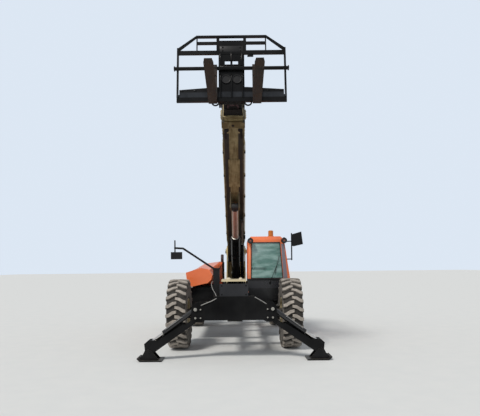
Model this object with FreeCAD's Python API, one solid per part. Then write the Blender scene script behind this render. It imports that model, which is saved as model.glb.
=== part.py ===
import FreeCAD, Part
import math
import os

os.makedirs("parts", exist_ok=True)
V = FreeCAD.Vector

# Driving dimensions, millimetres and degrees; X across, -Y to the front, Z up from the ground
# wheels and axles
TYRE_R = 685.0
TYRE_W = 385.0
TRACK_HALF = 1102.5
BEAD_R = 305.0
LUG_H, LUG_FACETS, BORE_FACETS = 44.0, 36, 18
FRONT_AXLE_Y = -975.0
REAR_AXLE_Y = 2735.0
KINGPIN_X = 820.0
YOKE_GAP = 105.0
YOKE_PLATE = 30.0
HUB_R = 120.0
SPINDLE_R = 60.0
KINGPIN_R = 30.0
AXLE_R = 95.0

# frame
RAIL_IN = 241.0
RAIL_T = 25.0
RAIL_LOW = 720.0
RAIL_TOP = 1150.0
RAIL_FRONT = -2120.0
AXLE_NOTCH_TOP = 900.0
TOWER_TOP = 2205.0
TAIL_Y = 3590.0
WEIGHT_T = 185.0
TOW_PIN_R = 18.0
WEIGHT_HALF, WEIGHT_LOW, WEIGHT_TOP = 1000.0, 620.0, 1180.0
WEIGHT_SLOPE, WEIGHT_FALL = 380.0, 100.0
WEIGHT_OUTLINE = ((WEIGHT_SLOPE - WEIGHT_HALF, WEIGHT_TOP), (-WEIGHT_HALF, WEIGHT_TOP - WEIGHT_FALL),
                  (-WEIGHT_HALF, WEIGHT_LOW), (WEIGHT_HALF, WEIGHT_LOW),
                  (WEIGHT_HALF, WEIGHT_TOP - WEIGHT_FALL), (WEIGHT_HALF - WEIGHT_SLOPE, WEIGHT_TOP))

# boom, in its own frame: u forward along the axis, w up, pivot pin at the origin
PIVOT_Y = 3425.0
PIVOT_Z = 2050.0
BOOM_ANGLE = 36.5
PIVOT_PIN_R = 45.0
OUTER_A, OUTER_B, OUTER_WALL = 232.5, 280.0, 10.0
OUTER_BACK, OUTER_END = -130.0, 4600.0
COLLAR_LEN, COLLAR_GROW_A, COLLAR_GROW_B = 150.0, 14.0, 50.0
MID1_A, MID1_B, MID1_WALL = 209.0, 256.0, 8.0
MID1_BACK, MID1_END = 150.0, 4850.0
MID2_A, MID2_B, MID2_WALL = 187.0, 234.0, 8.0
MID2_BACK, MID2_END = 250.0, 5000.0
FLY_A, FLY_B, FLY_WALL = 165.0, 212.0, 8.0
FLY_BACK, FLY_END = 350.0, 5450.0
PAD_LEN = 140.0
PAD_GAP = 0.3

# lift and slave cylinders: lever along the boom, eye below the axis, base behind and below the pivot
LIFT_A, LIFT_E = 2400.0, 500.0
LIFT_BX, LIFT_BZ = 150.0, 1000.0
LIFT_BARREL_R, LIFT_ROD_R = 116.0, 78.0
LIFT_BARREL_LEN = 1900.0
LIFT_EYE_R, LIFT_EYE_HALF = 85.0, 84.0
LIFT_ROD_START = 760.0
LIFT_PIN_R = 40.0
SLAVE_X = 172.0
SLAVE_A, SLAVE_E = 1800.0, 420.0
SLAVE_BX, SLAVE_BZ = 200.0, 900.0
SLAVE_BARREL_R, SLAVE_ROD_R = 42.0, 24.0
SLAVE_BARREL_LEN = 1450.0
SLAVE_ROD_START = 765.0
SLAVE_EYE_R, SLAVE_EYE_HALF = 48.0, 26.0
SLAVE_PIN_R = 20.0
EAR_GAP = 6.0

# neck and carriage; the tilt pin in the boom frame, the carriage pitch above level
TILT_U, TILT_W = 6044.0, -1499.0
PITCH = 9.5
NECK_T = 20.0
TILT_PIN_R = 40.0
PIN_BACK, PIN_UP = 230.0, 120.0
CARRIAGE_HALF = 930.0
SHAFT_Z, SHAFT_R = 630.0, 30.0
CROSSBAR_Z, CROSSBAR_T = 948.0, 34.0
BACKREST_LOW_Z, BACKREST_TOP_Z = 1130.0, 1250.0
BACKREST_LOW_T, BACKREST_TOP_T = 25.0, 17.0
BACKREST_HALF = 600.0
WEB_END_Z, WEB_MID_Z, WEB_MID_HALF = 265.0, 310.0, 260.0
WINDOW_IN, WINDOW_OUT = 18.0, 112.0
FORK_LEN, FORK_W, FORK_T, FORK_SHANK = 1220.0, 145.0, 55.0, 60.0
FORK_TIP_LEN, FORK_TIP_IN = 90.0, 18.0
FORK_XS = (("fork_right", -315.0), ("fork_left", 425.0))
TILT_BASE_U, TILT_BASE_W = 5805.0, -100.0
TILT_LEVER = 170.0
TILT_BARREL_R, TILT_ROD_R = 55.0, 30.0
TILT_BARREL_LEN, TILT_ROD_START = 800.0, 330.0
TILT_EYE_R, TILT_EYE_HALF = 45.0, 35.0
TILT_BASE_PIN_R = 26.0

# front outriggers
LEG_X, LEG_Z = 665.0, 735.0
LEG_CYL_UP = 145.0
BEAM_FRONT, BEAM_BACK, BEAM_PLATE = -2330.0, -2120.0, 25.0
LEG_Y0, LEG_Y1 = -2300.0, -2150.0
LEG_LEN = 1010.0
FOOT_PIN_Z = 155.7
LEG_ANGLE = -math.degrees(math.asin((LEG_Z - FOOT_PIN_Z) / LEG_LEN))
LEG_EYE_P, LEG_EYE_N = LEG_LEN - 80.0, 100.0
LEG_BARREL_R, LEG_ROD_R = 45.0, 25.0
LEG_EYE_R, LEG_EYE_HALF = 48.0, 50.0
LEG_BARREL_LEN, LEG_ROD_START = 700.0, 300.0
LEG_PIN_R = 28.0
PAD_IN, PAD_OUT = 247.3, 172.7
PAD_Y0, PAD_Y1 = -2405.0, -2045.0
PAD_T = 22.0

# cab
CAB_X0, CAB_Y0, CAB_Y1 = 275.0, 25.0, 1525.0
CAB_FLOOR_Z = 850.0
CAB_ROOF, CAB_EAVE = 2280.0, 2205.0
SCREEN_LOW, SCREEN_TOP = 1340.0, 2150.0
LAMP_Z = 2175.0
CAB_BEAM_H, CAB_BEAM_END = 70.0, 1150.0
SEAT_GAP = 0.3
CAB_WALL = 45.0
DOOR_HINGE = (1225.0, 1124.0)
DOOR_HINGE_ZS = (1050.0, 1650.0)
HINGE_PIN_R, HINGE_R, HINGE_HALF = 8.0, 14.0, 20.0
CAB_SIDE = ((275.0, CAB_FLOOR_Z), (1200.0, CAB_FLOOR_Z), (1215.0, 1330.0), (1100.0, CAB_EAVE),
            (1020.0, CAB_ROOF), (360.0, CAB_ROOF), (285.0, CAB_EAVE))
CAB_PROFILE = ((25.0, CAB_FLOOR_Z), (25.0, 1330.0), (150.0, CAB_EAVE), (215.0, CAB_ROOF),
               (1440.0, CAB_ROOF), (1500.0, CAB_EAVE), (1525.0, 1330.0), (1525.0, CAB_FLOOR_Z))
DOOR_BOX = (880.0, 1400.0, 190.0, 1130.0, 925.0, 2150.0)
DOOR_GAP = 6.0
GLASS_IN, GLASS_T = 18.0, 6.0

# engine side
HOOD_FRONT_Y, HOOD_BACK_Y = -225.0, 1830.0
HOOD_WALL = 14.0
HOOD_FRONT = ((-590.0, 1262.0), (-515.0, 1330.0), (-490.0, 1430.0), (-545.0, 1545.0),
              (-730.0, 1590.0), (-1060.0, 1490.0), (-1020.0, 1168.0))
HOOD_BACK = ((-330.0, 1150.0), (-335.0, 1400.0), (-335.0, 1700.0), (-400.0, 1745.0),
             (-800.0, 1690.0), (-1120.0, 1500.0), (-1130.0, 1150.0))
BAY_X0, BAY_X1 = -1120.0, -266.0
BAY_Y0, BAY_Y1 = -100.0, 1860.0
BAY_FLOOR = 700.0
ENGINE_TOP = 1185.0
HOOD_HINGE = (-312.0, 1722.0)
HOOD_HINGE_YS = (1150.0, 1700.0)


def box(x0, x1, y0, y1, z0, z1):
    return Part.makeBox(x1 - x0, y1 - y0, z1 - z0, V(x0, y0, z0))


def rod(p, d, r, length):
    return Part.makeCylinder(r, length, V(*p), V(*d))


def tube(p, d, r, bore, length):
    return rod(p, d, r, length).cut(rod(p, d, bore, length))


def slab_x(points, x0, x1):
    wire = Part.makePolygon([V(x0, y, z) for y, z in points] + [V(x0, *points[0])])
    return Part.Face(wire).extrude(V(x1 - x0, 0, 0))


def slab_y(points, y0, y1):
    wire = Part.makePolygon([V(x, y0, z) for x, z in points] + [V(points[0][0], y0, points[0][1])])
    return Part.Face(wire).extrude(V(0, y1 - y0, 0))


def fuse(shapes):
    body = shapes[0]
    if len(shapes) > 1:
        body = body.multiFuse(shapes[1:])
    return body.removeSplitter()


def mirror_x(shape):
    return shape.mirror(V(0, 0, 0), V(1, 0, 0))


def save(name, shape):
    shape.exportStep("parts/%s.step" % name)


def turned(shape, angle, axis, centre=V(0, 0, 0)):
    out = shape.copy()
    out.rotate(centre, axis, angle)
    return out


def moved(shape, x, y, z):
    out = shape.copy()
    out.translate(V(x, y, z))
    return out


def boom_place(shape):
    # the boom frame lies level with u along -Y; it is turned up about the pivot pin
    return moved(turned(shape, -BOOM_ANGLE, V(1, 0, 0)), 0, PIVOT_Y, PIVOT_Z)


def boom_point(u, w):
    a = math.radians(BOOM_ANGLE)
    return (PIVOT_Y - u * math.cos(a) + w * math.sin(a), PIVOT_Z + u * math.sin(a) + w * math.cos(a))


TILT_Y, TILT_Z = boom_point(TILT_U, TILT_W)


def carriage_place(shape):
    # the carriage frame has its origin at the tilt pin
    return moved(turned(shape, -PITCH, V(1, 0, 0)), 0, TILT_Y, TILT_Z)


def boom_box(u0, u1, x0, x1, w0, w1):
    return box(x0, x1, -u1, -u0, w0, w1)


def boom_slab(points, x0, x1):
    return slab_x([(-u, w) for u, w in points], x0, x1)


# Wheels and axles
TYRE_HALF = TYRE_W / 2


def ring_of(profile, x, y):
    pts = [V(x + px, y, TYRE_R + pr) for pr, px in profile]
    face = Part.Face(Part.makePolygon(pts + [pts[0]]))
    return face.revolve(V(x, y, TYRE_R), V(1, 0, 0), 360)


def facet_ring(count, flat, x, y):
    # corners of a flat-sided ring around the wheel's axis, one flat square to the ground
    r = flat / math.cos(math.pi / count)
    turns = [2 * math.pi * (k + 0.5) / count for k in range(count)]
    return [V(x, y + r * math.sin(a), TYRE_R - r * math.cos(a)) for a in turns]


def facet_prism(count, flat, x0, x1, y):
    ring = facet_ring(count, flat, x0, y)
    return Part.Face(Part.makePolygon(ring + ring[:1])).extrude(V(x1 - x0, 0, 0))


def facet_drum(sections, x, y):
    # a closed drum of plane facets through rings of (offset along the axle, flat radius)
    rings = [facet_ring(LUG_FACETS, flat, x + dx, y) for dx, flat in sections]
    faces = [Part.Face(Part.makePolygon(ring + ring[:1])) for ring in (rings[0], rings[-1])]
    for low, high in zip(rings, rings[1:]):
        for k in range(LUG_FACETS):
            n = (k + 1) % LUG_FACETS
            faces.append(Part.Face(Part.makePolygon([low[k], low[n], high[n], high[k], low[k]])))
    shell = Part.makeShell(faces)
    shell.sewShape()
    drum = Part.makeSolid(Part.Shell(shell.Faces))
    if drum.Volume < 0:
        drum.reverse()
    return drum


def tyre(x, y):
    # carcass with flat facets, hollow, and bars from the middle to the shoulders in turn
    tread = TYRE_R - LUG_H
    h = TYRE_HALF
    body = facet_drum(((-h, tread - 40), (-h + 38, tread), (h - 38, tread), (h, tread - 40)), x, y)
    hollow = facet_prism(BORE_FACETS, tread - 40, x - h + 35, x + h - 35, y)
    bore = facet_prism(BORE_FACETS, BEAD_R + SEAT_GAP, x - h - 1, x + h + 1, y)
    lugs = []
    for k in range(LUG_FACETS):
        side = 1 if k % 2 else -1
        foot = ((-52, -12), (10, -12), (46, h), (-20, h))
        face = Part.Face(Part.makePolygon([V(x + side * c, y + s, LUG_H + 12) for s, c in foot + foot[:1]]))
        lug = face.extrude(V(0, 0, -LUG_H - 12))
        lugs.append(turned(lug, 360.0 * k / LUG_FACETS, V(1, 0, 0), V(x, y, TYRE_R)))
    return fuse([body.cut(hollow).cut(bore)] + lugs)


def rim(side, x, y):
    inner, outer = -178.0, 178.0
    parts = [
        ring_of(((BEAD_R, inner), (BEAD_R, outer), (BEAD_R - 18, outer), (BEAD_R - 18, inner)), x, y),
        ring_of(((BEAD_R - 10, side * 20), (BEAD_R - 10, side * 34), (200.0, side * 34),
                 (130.0, side * 14), (100.0, side * 14), (100.0, 0.0), (130.0, 0.0),
                 (200.0, side * 20)), x, y),
        ring_of(((SPINDLE_R + 0.05, side * -60), (HUB_R, side * -60), (HUB_R, side * 60),
                 (90.0, side * 110), (SPINDLE_R + 0.05, side * 110)), x, y),
        ring_of(((0.0, side * 110), (90.0, side * 110), (80.0, side * 120), (0.0, side * 120)), x, y),
    ]
    return fuse(parts)


def knuckle(side, y):
    z = TYRE_R
    up = V(0, 0, 1)
    reach = TRACK_HALF - 70 - KINGPIN_X
    parts = [
        rod((side * KINGPIN_X, y, z - YOKE_GAP + 0.3), up, 68.0, 2 * YOKE_GAP - 0.6),
        rod((side * KINGPIN_X, y, z - YOKE_GAP - YOKE_PLATE), up, KINGPIN_R, 2 * (YOKE_GAP + YOKE_PLATE)),
        rod((side * KINGPIN_X, y, z), V(side, 0, 0), HUB_R - 25, reach),
        rod((side * KINGPIN_X, y, z), V(side, 0, 0), SPINDLE_R, reach + 165),
    ]
    return fuse(parts)


def axle(y):
    z = TYRE_R
    parts = [rod((-KINGPIN_X + 110, y, z), V(1, 0, 0), AXLE_R, 2 * KINGPIN_X - 220)]
    parts.append(rod((-150, y, z), V(1, 0, 0), 175, 300))
    for side in (-1, 1):
        x0, x1 = sorted((side * (KINGPIN_X - 130), side * (KINGPIN_X - 85)))
        parts.append(box(x0, x1, y - 85, y + 85, z - YOKE_GAP - YOKE_PLATE, z + YOKE_GAP + YOKE_PLATE))
        for z0 in (z - YOKE_GAP - YOKE_PLATE, z + YOKE_GAP):
            x0, x1 = sorted((side * (KINGPIN_X - 130), side * KINGPIN_X))
            parts.append(box(x0, x1, y - 75, y + 75, z0, z0 + YOKE_PLATE))
            parts.append(rod((side * KINGPIN_X, y, z0), V(0, 0, 1), 75, YOKE_PLATE))
        x0, x1 = sorted((side * 200, side * 300))
        parts.append(box(x0, x1, y - 120, y + 120, z, AXLE_NOTCH_TOP))
    body = fuse(parts)
    for side in (-1, 1):
        body = body.cut(rod((side * KINGPIN_X, y, 0), V(0, 0, 1), KINGPIN_R + 0.05, 2 * z))
    return body


def wheels():
    corners = (("front_right", -1, FRONT_AXLE_Y), ("front_left", 1, FRONT_AXLE_Y),
               ("rear_right", -1, REAR_AXLE_Y), ("rear_left", 1, REAR_AXLE_Y))
    for name, side, y in corners:
        save("tyre_" + name, tyre(side * TRACK_HALF, y))
        save("rim_" + name, rim(side, side * TRACK_HALF, y))
        save("knuckle_" + name, knuckle(side, y))
    save("front_axle", axle(FRONT_AXLE_Y))
    save("rear_axle", axle(REAR_AXLE_Y))


# Frame: two rails that rise to the boom tower, cross members, cylinder base pins
def main_frame():
    f, r = FRONT_AXLE_Y, REAR_AXLE_Y
    outline = [(RAIL_FRONT, RAIL_LOW), (f - 180, RAIL_LOW), (f - 130, AXLE_NOTCH_TOP),
               (f + 130, AXLE_NOTCH_TOP), (f + 180, RAIL_LOW), (r - 180, RAIL_LOW),
               (r - 130, AXLE_NOTCH_TOP), (r + 130, AXLE_NOTCH_TOP), (r + 180, RAIL_LOW),
               (TAIL_Y, RAIL_LOW), (TAIL_Y, 2000.0), (3530.0, TOWER_TOP - 40), (3490.0, TOWER_TOP),
               (3290.0, TOWER_TOP), (2550.0, RAIL_TOP + 60), (2300.0, RAIL_TOP), (RAIL_FRONT, RAIL_TOP)]
    parts = []
    for side in (-1, 1):
        x0, x1 = sorted((side * RAIL_IN, side * (RAIL_IN + RAIL_T)))
        parts.append(slab_x(outline, x0, x1))
        x0, x1 = sorted((side * (RAIL_IN + RAIL_T), side * (RAIL_IN + RAIL_T + 20)))
        parts.append(rod((x0, PIVOT_Y, PIVOT_Z), V(1, 0, 0), 95, x1 - x0))
    for y0, y1, z0, z1 in ((-2000, -1880, 740, 860), (-300, -180, 740, 860), (900, 1020, 740, 860),
                           (2050, 2170, 740, 860), (3440, 3560, 740, 1000), (3565, 3590, 1000, 1768)):
        parts.append(box(-RAIL_IN, RAIL_IN, y0, y1, z0, z1))
    half = RAIL_IN + RAIL_T
    parts.append(rod((-half - 30, PIVOT_Y, PIVOT_Z), V(1, 0, 0), PIVOT_PIN_R, 2 * half + 60))
    base_y, base_z = PIVOT_Y - LIFT_BX, PIVOT_Z - LIFT_BZ
    parts.append(rod((-half - 15, base_y, base_z), V(1, 0, 0), LIFT_PIN_R, 2 * half + 30))
    # beams under the cab floor
    for y in (CAB_Y0 + 25, CAB_Y1 - 105):
        z = CAB_FLOOR_Z - SEAT_GAP
        parts.append(box(half - 5, CAB_BEAM_END, y, y + 80, z - CAB_BEAM_H, z))
    slave_y, slave_z = PIVOT_Y - SLAVE_BX, PIVOT_Z - SLAVE_BZ
    parts.append(rod((SLAVE_X - SLAVE_EYE_HALF - 10, slave_y, slave_z), V(1, 0, 0), SLAVE_PIN_R,
                     half + 10 - SLAVE_X + SLAVE_EYE_HALF + 10))
    return fuse(parts)


def stabilizer_beam():
    outline = [(-735, 700), (-700, 660), (-560, 660), (-500, 690), (500, 690), (560, 660), (700, 660),
               (735, 700), (735, 930), (690, 985), (620, 1005), (455, 1005), (350, 1100), (-350, 1100),
               (-455, 1005), (-620, 1005), (-690, 985), (-735, 930)]
    y2, y3 = BEAM_FRONT + BEAM_PLATE, BEAM_BACK - BEAM_PLATE
    parts = [slab_y(outline, BEAM_FRONT, y2), slab_y(outline, y3, BEAM_BACK),
             box(-500, 500, y2, y3, 690, 715), box(-350, 350, y2, y3, 1075, 1100),
             box(-500, -480, y2, y3, 690, 1005), box(480, 500, y2, y3, 690, 1005),
             box(-500, -350, y2, y3, 985, 1005), box(350, 500, y2, y3, 985, 1005)]
    for side in (-1, 1):
        for z in (LEG_Z, LEG_Z + LEG_CYL_UP):
            parts.append(rod((side * LEG_X, BEAM_FRONT - 14, z), V(0, 1, 0), LEG_PIN_R,
                             BEAM_BACK - BEAM_FRONT + 28))
    return fuse(parts)


def nose_guard():
    panel = slab_x([(-2300, 1100), (-2270, 1315), (-2250, 1315), (-2280, 1100)], -248, 248)
    top = slab_x([(-2290, 1355), (-2010, 1365), (-2010, 1394), (-2290, 1384)], -214, 214)
    parts = [panel, top]
    for side in (-1, 1):
        x0, x1 = sorted((side * 160, side * 180))
        parts.append(slab_x([(-2281, 1100), (-2252, 1356), (-2130, 1361), (-2130, 1100)], x0, x1))
    return fuse(parts)


def counterweight():
    body = slab_y(WEIGHT_OUTLINE, TAIL_Y, TAIL_Y + WEIGHT_T)
    slot = box(-90, 90, TAIL_Y + 60, TAIL_Y + WEIGHT_T + 1, 690, 790)
    pin = rod((0, TAIL_Y + 125, WEIGHT_LOW), V(0, 0, 1), TOW_PIN_R, WEIGHT_TOP - WEIGHT_LOW)
    return body.cut(slot).cut(pin)


# Boom: four nested box sections with wear pads, collar, lugs, and the neck at the fly end
def box_tube(u0, u1, a, b, wall):
    inner = boom_box(u0 - 1, u1 + 1, wall - a, a - wall, wall - b, b - wall)
    return boom_box(u0, u1, -a, a, -b, b).cut(inner)


def wear_pads(u0, a, b, gap_a, gap_b):
    # strips on the four outer faces of a section, ending a hair short of the section outside it
    parts = []
    for s in (-1, 1):
        w0, w1 = sorted((s * b, s * (b + gap_b - PAD_GAP)))
        parts.append(boom_box(u0, u0 + PAD_LEN, -a * 0.7, a * 0.7, w0, w1))
        x0, x1 = sorted((s * a, s * (a + gap_a - PAD_GAP)))
        parts.append(boom_box(u0, u0 + PAD_LEN, x0, x1, -b * 0.6, b * 0.6))
    return parts


def front_pads(u1, a, b, gap_a, gap_b):
    # strips inside the mouth of a section, ending a hair short of the section inside it
    parts = []
    for s in (-1, 1):
        w0, w1 = sorted((s * (b - gap_b + PAD_GAP), s * b))
        parts.append(boom_box(u1 - PAD_LEN, u1, -a * 0.6, a * 0.6, w0, w1))
        x0, x1 = sorted((s * (a - gap_a + PAD_GAP), s * a))
        parts.append(boom_box(u1 - PAD_LEN, u1, x0, x1, -b * 0.5, b * 0.5))
    return parts


def boom_outer():
    a, b = OUTER_A, OUTER_B
    end = OUTER_END + COLLAR_LEN
    parts = [box_tube(OUTER_BACK, end, a, b, OUTER_WALL)]
    ca, cb = a + COLLAR_GROW_A, b + COLLAR_GROW_B
    collar = boom_box(OUTER_END, end, -ca, ca, -cb, cb)
    parts.append(collar.cut(boom_box(OUTER_END - 1, end + 1, -a + 1, a - 1, -b + 1, b - 1)))
    ia, ib = a - OUTER_WALL, b - OUTER_WALL
    parts += front_pads(end, ia, ib, ia - MID1_A, ib - MID1_B)
    for side in (-1, 1):
        x0, x1 = sorted((side * (LIFT_EYE_HALF + EAR_GAP), side * (LIFT_EYE_HALF + EAR_GAP + 28)))
        ear = boom_slab([(LIFT_A - 330, -b), (LIFT_A - 90, -LIFT_E - 40), (LIFT_A - 50, -LIFT_E - 80),
                         (LIFT_A + 50, -LIFT_E - 80), (LIFT_A + 90, -LIFT_E - 40),
                         (LIFT_A + 300, -b)], x0, x1)
        parts.append(ear)
        x0, x1 = sorted((side * (LIFT_EYE_HALF + EAR_GAP + 28), side * 130))
        parts.append(rod((x0, -LIFT_A, -LIFT_E), V(1, 0, 0), 55, x1 - x0))
        x0, x1 = sorted((side * ca, side * (ca + 22)))
        parts.append(boom_box(OUTER_END + 20, end - 20, x0, x1, -60, 130))
    x0 = SLAVE_X + SLAVE_EYE_HALF + EAR_GAP
    parts.append(boom_slab([(SLAVE_A - 150, -b), (SLAVE_A - 50, -SLAVE_E - 30), (SLAVE_A, -SLAVE_E - 50),
                            (SLAVE_A + 50, -SLAVE_E - 30), (SLAVE_A + 130, -b)], x0, x0 + 20))
    parts.append(boom_box(2870, 3720, -130, 130, -b - 12, -b))
    for x0, x1 in ((-200, -140), (140, 200)):
        parts.append(boom_box(2980, OUTER_END, x0, x1, -b - 8, -b))
    body = fuse(parts)
    return boom_place(body.cut(rod((-400, 0, 0), V(1, 0, 0), PIVOT_PIN_R + 0.05, 800)))


def boom_mid(back, end, a, b, wall, out, inn):
    parts = [box_tube(back, end, a, b, wall)]
    collar = boom_box(end - 70, end, -a - 6, a + 6, -b - 20, b + 20)
    parts.append(collar.cut(boom_box(end - 71, end + 1, -a + 1, a - 1, -b + 1, b - 1)))
    parts += wear_pads(back, a, b, out[0] - a, out[1] - b)
    parts += front_pads(end, a - wall, b - wall, a - wall - inn[0], b - wall - inn[1])
    return boom_place(fuse(parts))


def neck_plate(x0, x1):
    # side plate of the neck in the boom frame: fly end, crown, then down to the tilt pin
    pts = [(5050, -FLY_B - 8), (5730, -225), (5790, -330), (5850, -520), (5890, -900), (5910, -1430),
           (5950, -1545), (6005, -1598), (6085, -1597), (6140, -1530), (6150, -1400), (6095, -900),
           (6055, -640), (5990, -330), (5915, -110), (5800, 15), (5690, 165), (5560, 226),
           (5050, FLY_B + 8)]
    return boom_slab(pts, x0, x1)


def boom_fly():
    a, b = FLY_A, FLY_B
    parts = [box_tube(FLY_BACK, FLY_END, a, b, FLY_WALL)]
    parts += wear_pads(FLY_BACK, a, b, MID2_A - MID2_WALL - a, MID2_B - MID2_WALL - b)
    for s in (-1, 1):
        x0, x1 = sorted((s * a, s * (a + NECK_T)))
        parts.append(neck_plate(x0, x1))
    inner = a + 1
    ties = (((5300, 205), (5540, 208), (5560, 224), (5300, 221)),
            ((5540, 208), (5560, 224), (5690, 163), (5672, 148)),
            ((5672, 148), (5690, 163), (5800, 14), (5784, 3)),
            ((5784, 3), (5800, 14), (5914, -110), (5898, -122)),
            ((5400, -FLY_B - 6), (5690, -222), (5690, -206), (5400, -FLY_B + 2)),
            ((5905, -1000), (5912, -1130), (5930, -1130), (5923, -1000)),
            ((6058, -640), (6082, -800), (6072, -800), (6048, -640)))
    for tie in ties:
        parts.append(boom_slab(tie, -inner, inner))
    pin_half = a + NECK_T + 45
    parts.append(rod((-pin_half, -TILT_U, TILT_W), V(1, 0, 0), TILT_PIN_R, 2 * pin_half))
    parts.append(rod((-pin_half + 40, -TILT_BASE_U, TILT_BASE_W), V(1, 0, 0), TILT_BASE_PIN_R,
                     2 * pin_half - 80))
    return boom_place(fuse(parts))


# Carriage frame: origin at the tilt pin, level, forks toward -Y
CY, CZ = -PIN_BACK, -PIN_UP


def carriage():
    def bar(x0, x1, y0, y1, z0, z1):
        return box(x0, x1, CY + y0, CY + y1, CZ + z0, CZ + z1)

    half = CARRIAGE_HALF
    parts = [bar(-half, half, 65, 110, 45, 120),
             bar(-half, half, 75, 100, 120, 175),
             slab_y([(45 - half, CZ + 170), (half - 45, CZ + 170), (half - 45, CZ + WEB_END_Z),
                     (WEB_MID_HALF, CZ + WEB_MID_Z), (-WEB_MID_HALF, CZ + WEB_MID_Z),
                     (45 - half, CZ + WEB_END_Z)], CY + 75, CY + 100),
             bar(-half, half, 60, 95, CROSSBAR_Z - CROSSBAR_T, CROSSBAR_Z + CROSSBAR_T),
             bar(-BACKREST_HALF, BACKREST_HALF, 60, 100, BACKREST_TOP_Z - BACKREST_TOP_T,
                 BACKREST_TOP_Z + BACKREST_TOP_T),
             bar(-BACKREST_HALF, BACKREST_HALF, 70, 95, BACKREST_LOW_Z - BACKREST_LOW_T,
                 BACKREST_LOW_Z + BACKREST_LOW_T)]
    for s in (-1, 1):
        x0, x1 = sorted((s * (half - 32), s * half))
        parts.append(bar(x0, x1, 50, 95, 120, CROSSBAR_Z + 80))
        x0, x1 = sorted((s * 205, s * 255))
        parts.append(bar(x0, x1, 65, 95, CROSSBAR_Z, BACKREST_TOP_Z))
        x0, x1 = sorted((s * (BACKREST_HALF - 20), s * BACKREST_HALF))
        parts.append(bar(x0, x1, 70, 95, CROSSBAR_Z, BACKREST_TOP_Z))
        brace = slab_y([(s * BACKREST_HALF, CZ + BACKREST_TOP_Z + BACKREST_TOP_T),
                        (s * BACKREST_HALF, CZ + BACKREST_TOP_Z - BACKREST_TOP_T),
                        (s * (half - 32), CZ + CROSSBAR_Z + 40), (s * half, CZ + CROSSBAR_Z + 72)],
                       CY + 62, CY + 98)
        parts.append(brace)
        # coupler ears outside the neck plates, and the coupler plates above them
        x0, x1 = sorted((s * 192, s * 220))
        ear = slab_x([(CY + 70, CZ + 45), (-40, -80), (30, -90), (85, -50), (95, 20), (60, 80),
                      (CY + 125, CZ + 330), (CY + 95, CZ + 1170), (CY + 70, CZ + 1170)], x0, x1)
        parts.append(ear.cut(rod((-400, 0, 0), V(1, 0, 0), TILT_PIN_R + 0.05, 800)))
    parts.append(bar(-220, 220, 66, 86, 45, 690))
    parts.append(bar(-220, 220, 66, 86, 790, 1170))
    parts.append(bar(-WINDOW_IN, WINDOW_IN, 66, 86, 690, 790))
    for s in (-1, 1):
        x0, x1 = sorted((s * WINDOW_OUT, s * 220))
        parts.append(bar(x0, x1, 66, 86, 690, 790))
    shaft = rod((-half - 12, CY + 35, CZ + SHAFT_Z), V(1, 0, 0), SHAFT_R, 2 * half + 24)
    parts.append(shaft)
    for s in (-1, 1):
        for x in (s * (half - 16), s * 206):
            parts.append(bar(x - 14, x + 14, 20, 75, SHAFT_Z - 45, SHAFT_Z + 45))
    # tilt lever: two plates that reach up from a hub around the pin
    for s in (-1, 1):
        x0, x1 = sorted((s * (TILT_EYE_HALF + EAR_GAP), s * (TILT_EYE_HALF + EAR_GAP + 24)))
        lever = slab_x([(-150, 30), (-60, 10), (-50, -40), (50, -40), (55, 100), (40, TILT_LEVER + 45),
                        (-40, TILT_LEVER + 45), (-150, 190)], x0, x1)
        parts.append(lever.cut(rod((-400, 0, 0), V(1, 0, 0), TILT_PIN_R + 0.05, 800)))
    return parts


def carriage_body():
    parts = carriage()
    return carriage_place(fuse(parts))


def fork(x):
    w = FORK_W / 2
    blade = slab_x([(CY - FORK_LEN, CZ), (CY + FORK_SHANK, CZ), (CY + FORK_SHANK, CZ + 60),
                    (CY + FORK_SHANK, CZ + SHAFT_Z - 60), (CY + 10, CZ + SHAFT_Z - 60),
                    (CY, CZ + 300), (CY, CZ + FORK_T), (CY - 420, CZ + FORK_T - 4),
                    (CY - FORK_LEN, CZ + 12)], x - w, x + w)
    taper = slab_y([(x - w, CZ - 1), (x + w, CZ - 1), (x + w, CZ + 99), (x - w, CZ + 99)],
                   CY - FORK_LEN - 1, CY - FORK_LEN + FORK_TIP_LEN)
    point = Part.makeLoft([
        Part.makePolygon([V(x + s * q, CY - FORK_LEN + d, CZ + z)
                          for s, z in ((-1, -2), (1, -2), (1, 100), (-1, 100), (-1, -2))])
        for q, d in ((w - FORK_TIP_IN, -2), (w, FORK_TIP_LEN + 10))], True, True)
    blade = blade.cut(taper.cut(point))
    c = (x - w, CY + 35, CZ + SHAFT_Z)
    eye = rod(c, V(1, 0, 0), 62, FORK_W)
    neck = slab_x([(CY - 5, CZ + SHAFT_Z - 150), (CY + FORK_SHANK, CZ + SHAFT_Z - 150),
                   (CY + 80, CZ + SHAFT_Z - 20), (CY - 15, CZ + SHAFT_Z - 20)], x - w, x + w)
    bore = rod((x - 400, CY + 35, CZ + SHAFT_Z), V(1, 0, 0), SHAFT_R + 0.05, 800)
    body = fuse([blade, eye, neck]).cut(bore)
    return carriage_place(body)


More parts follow.
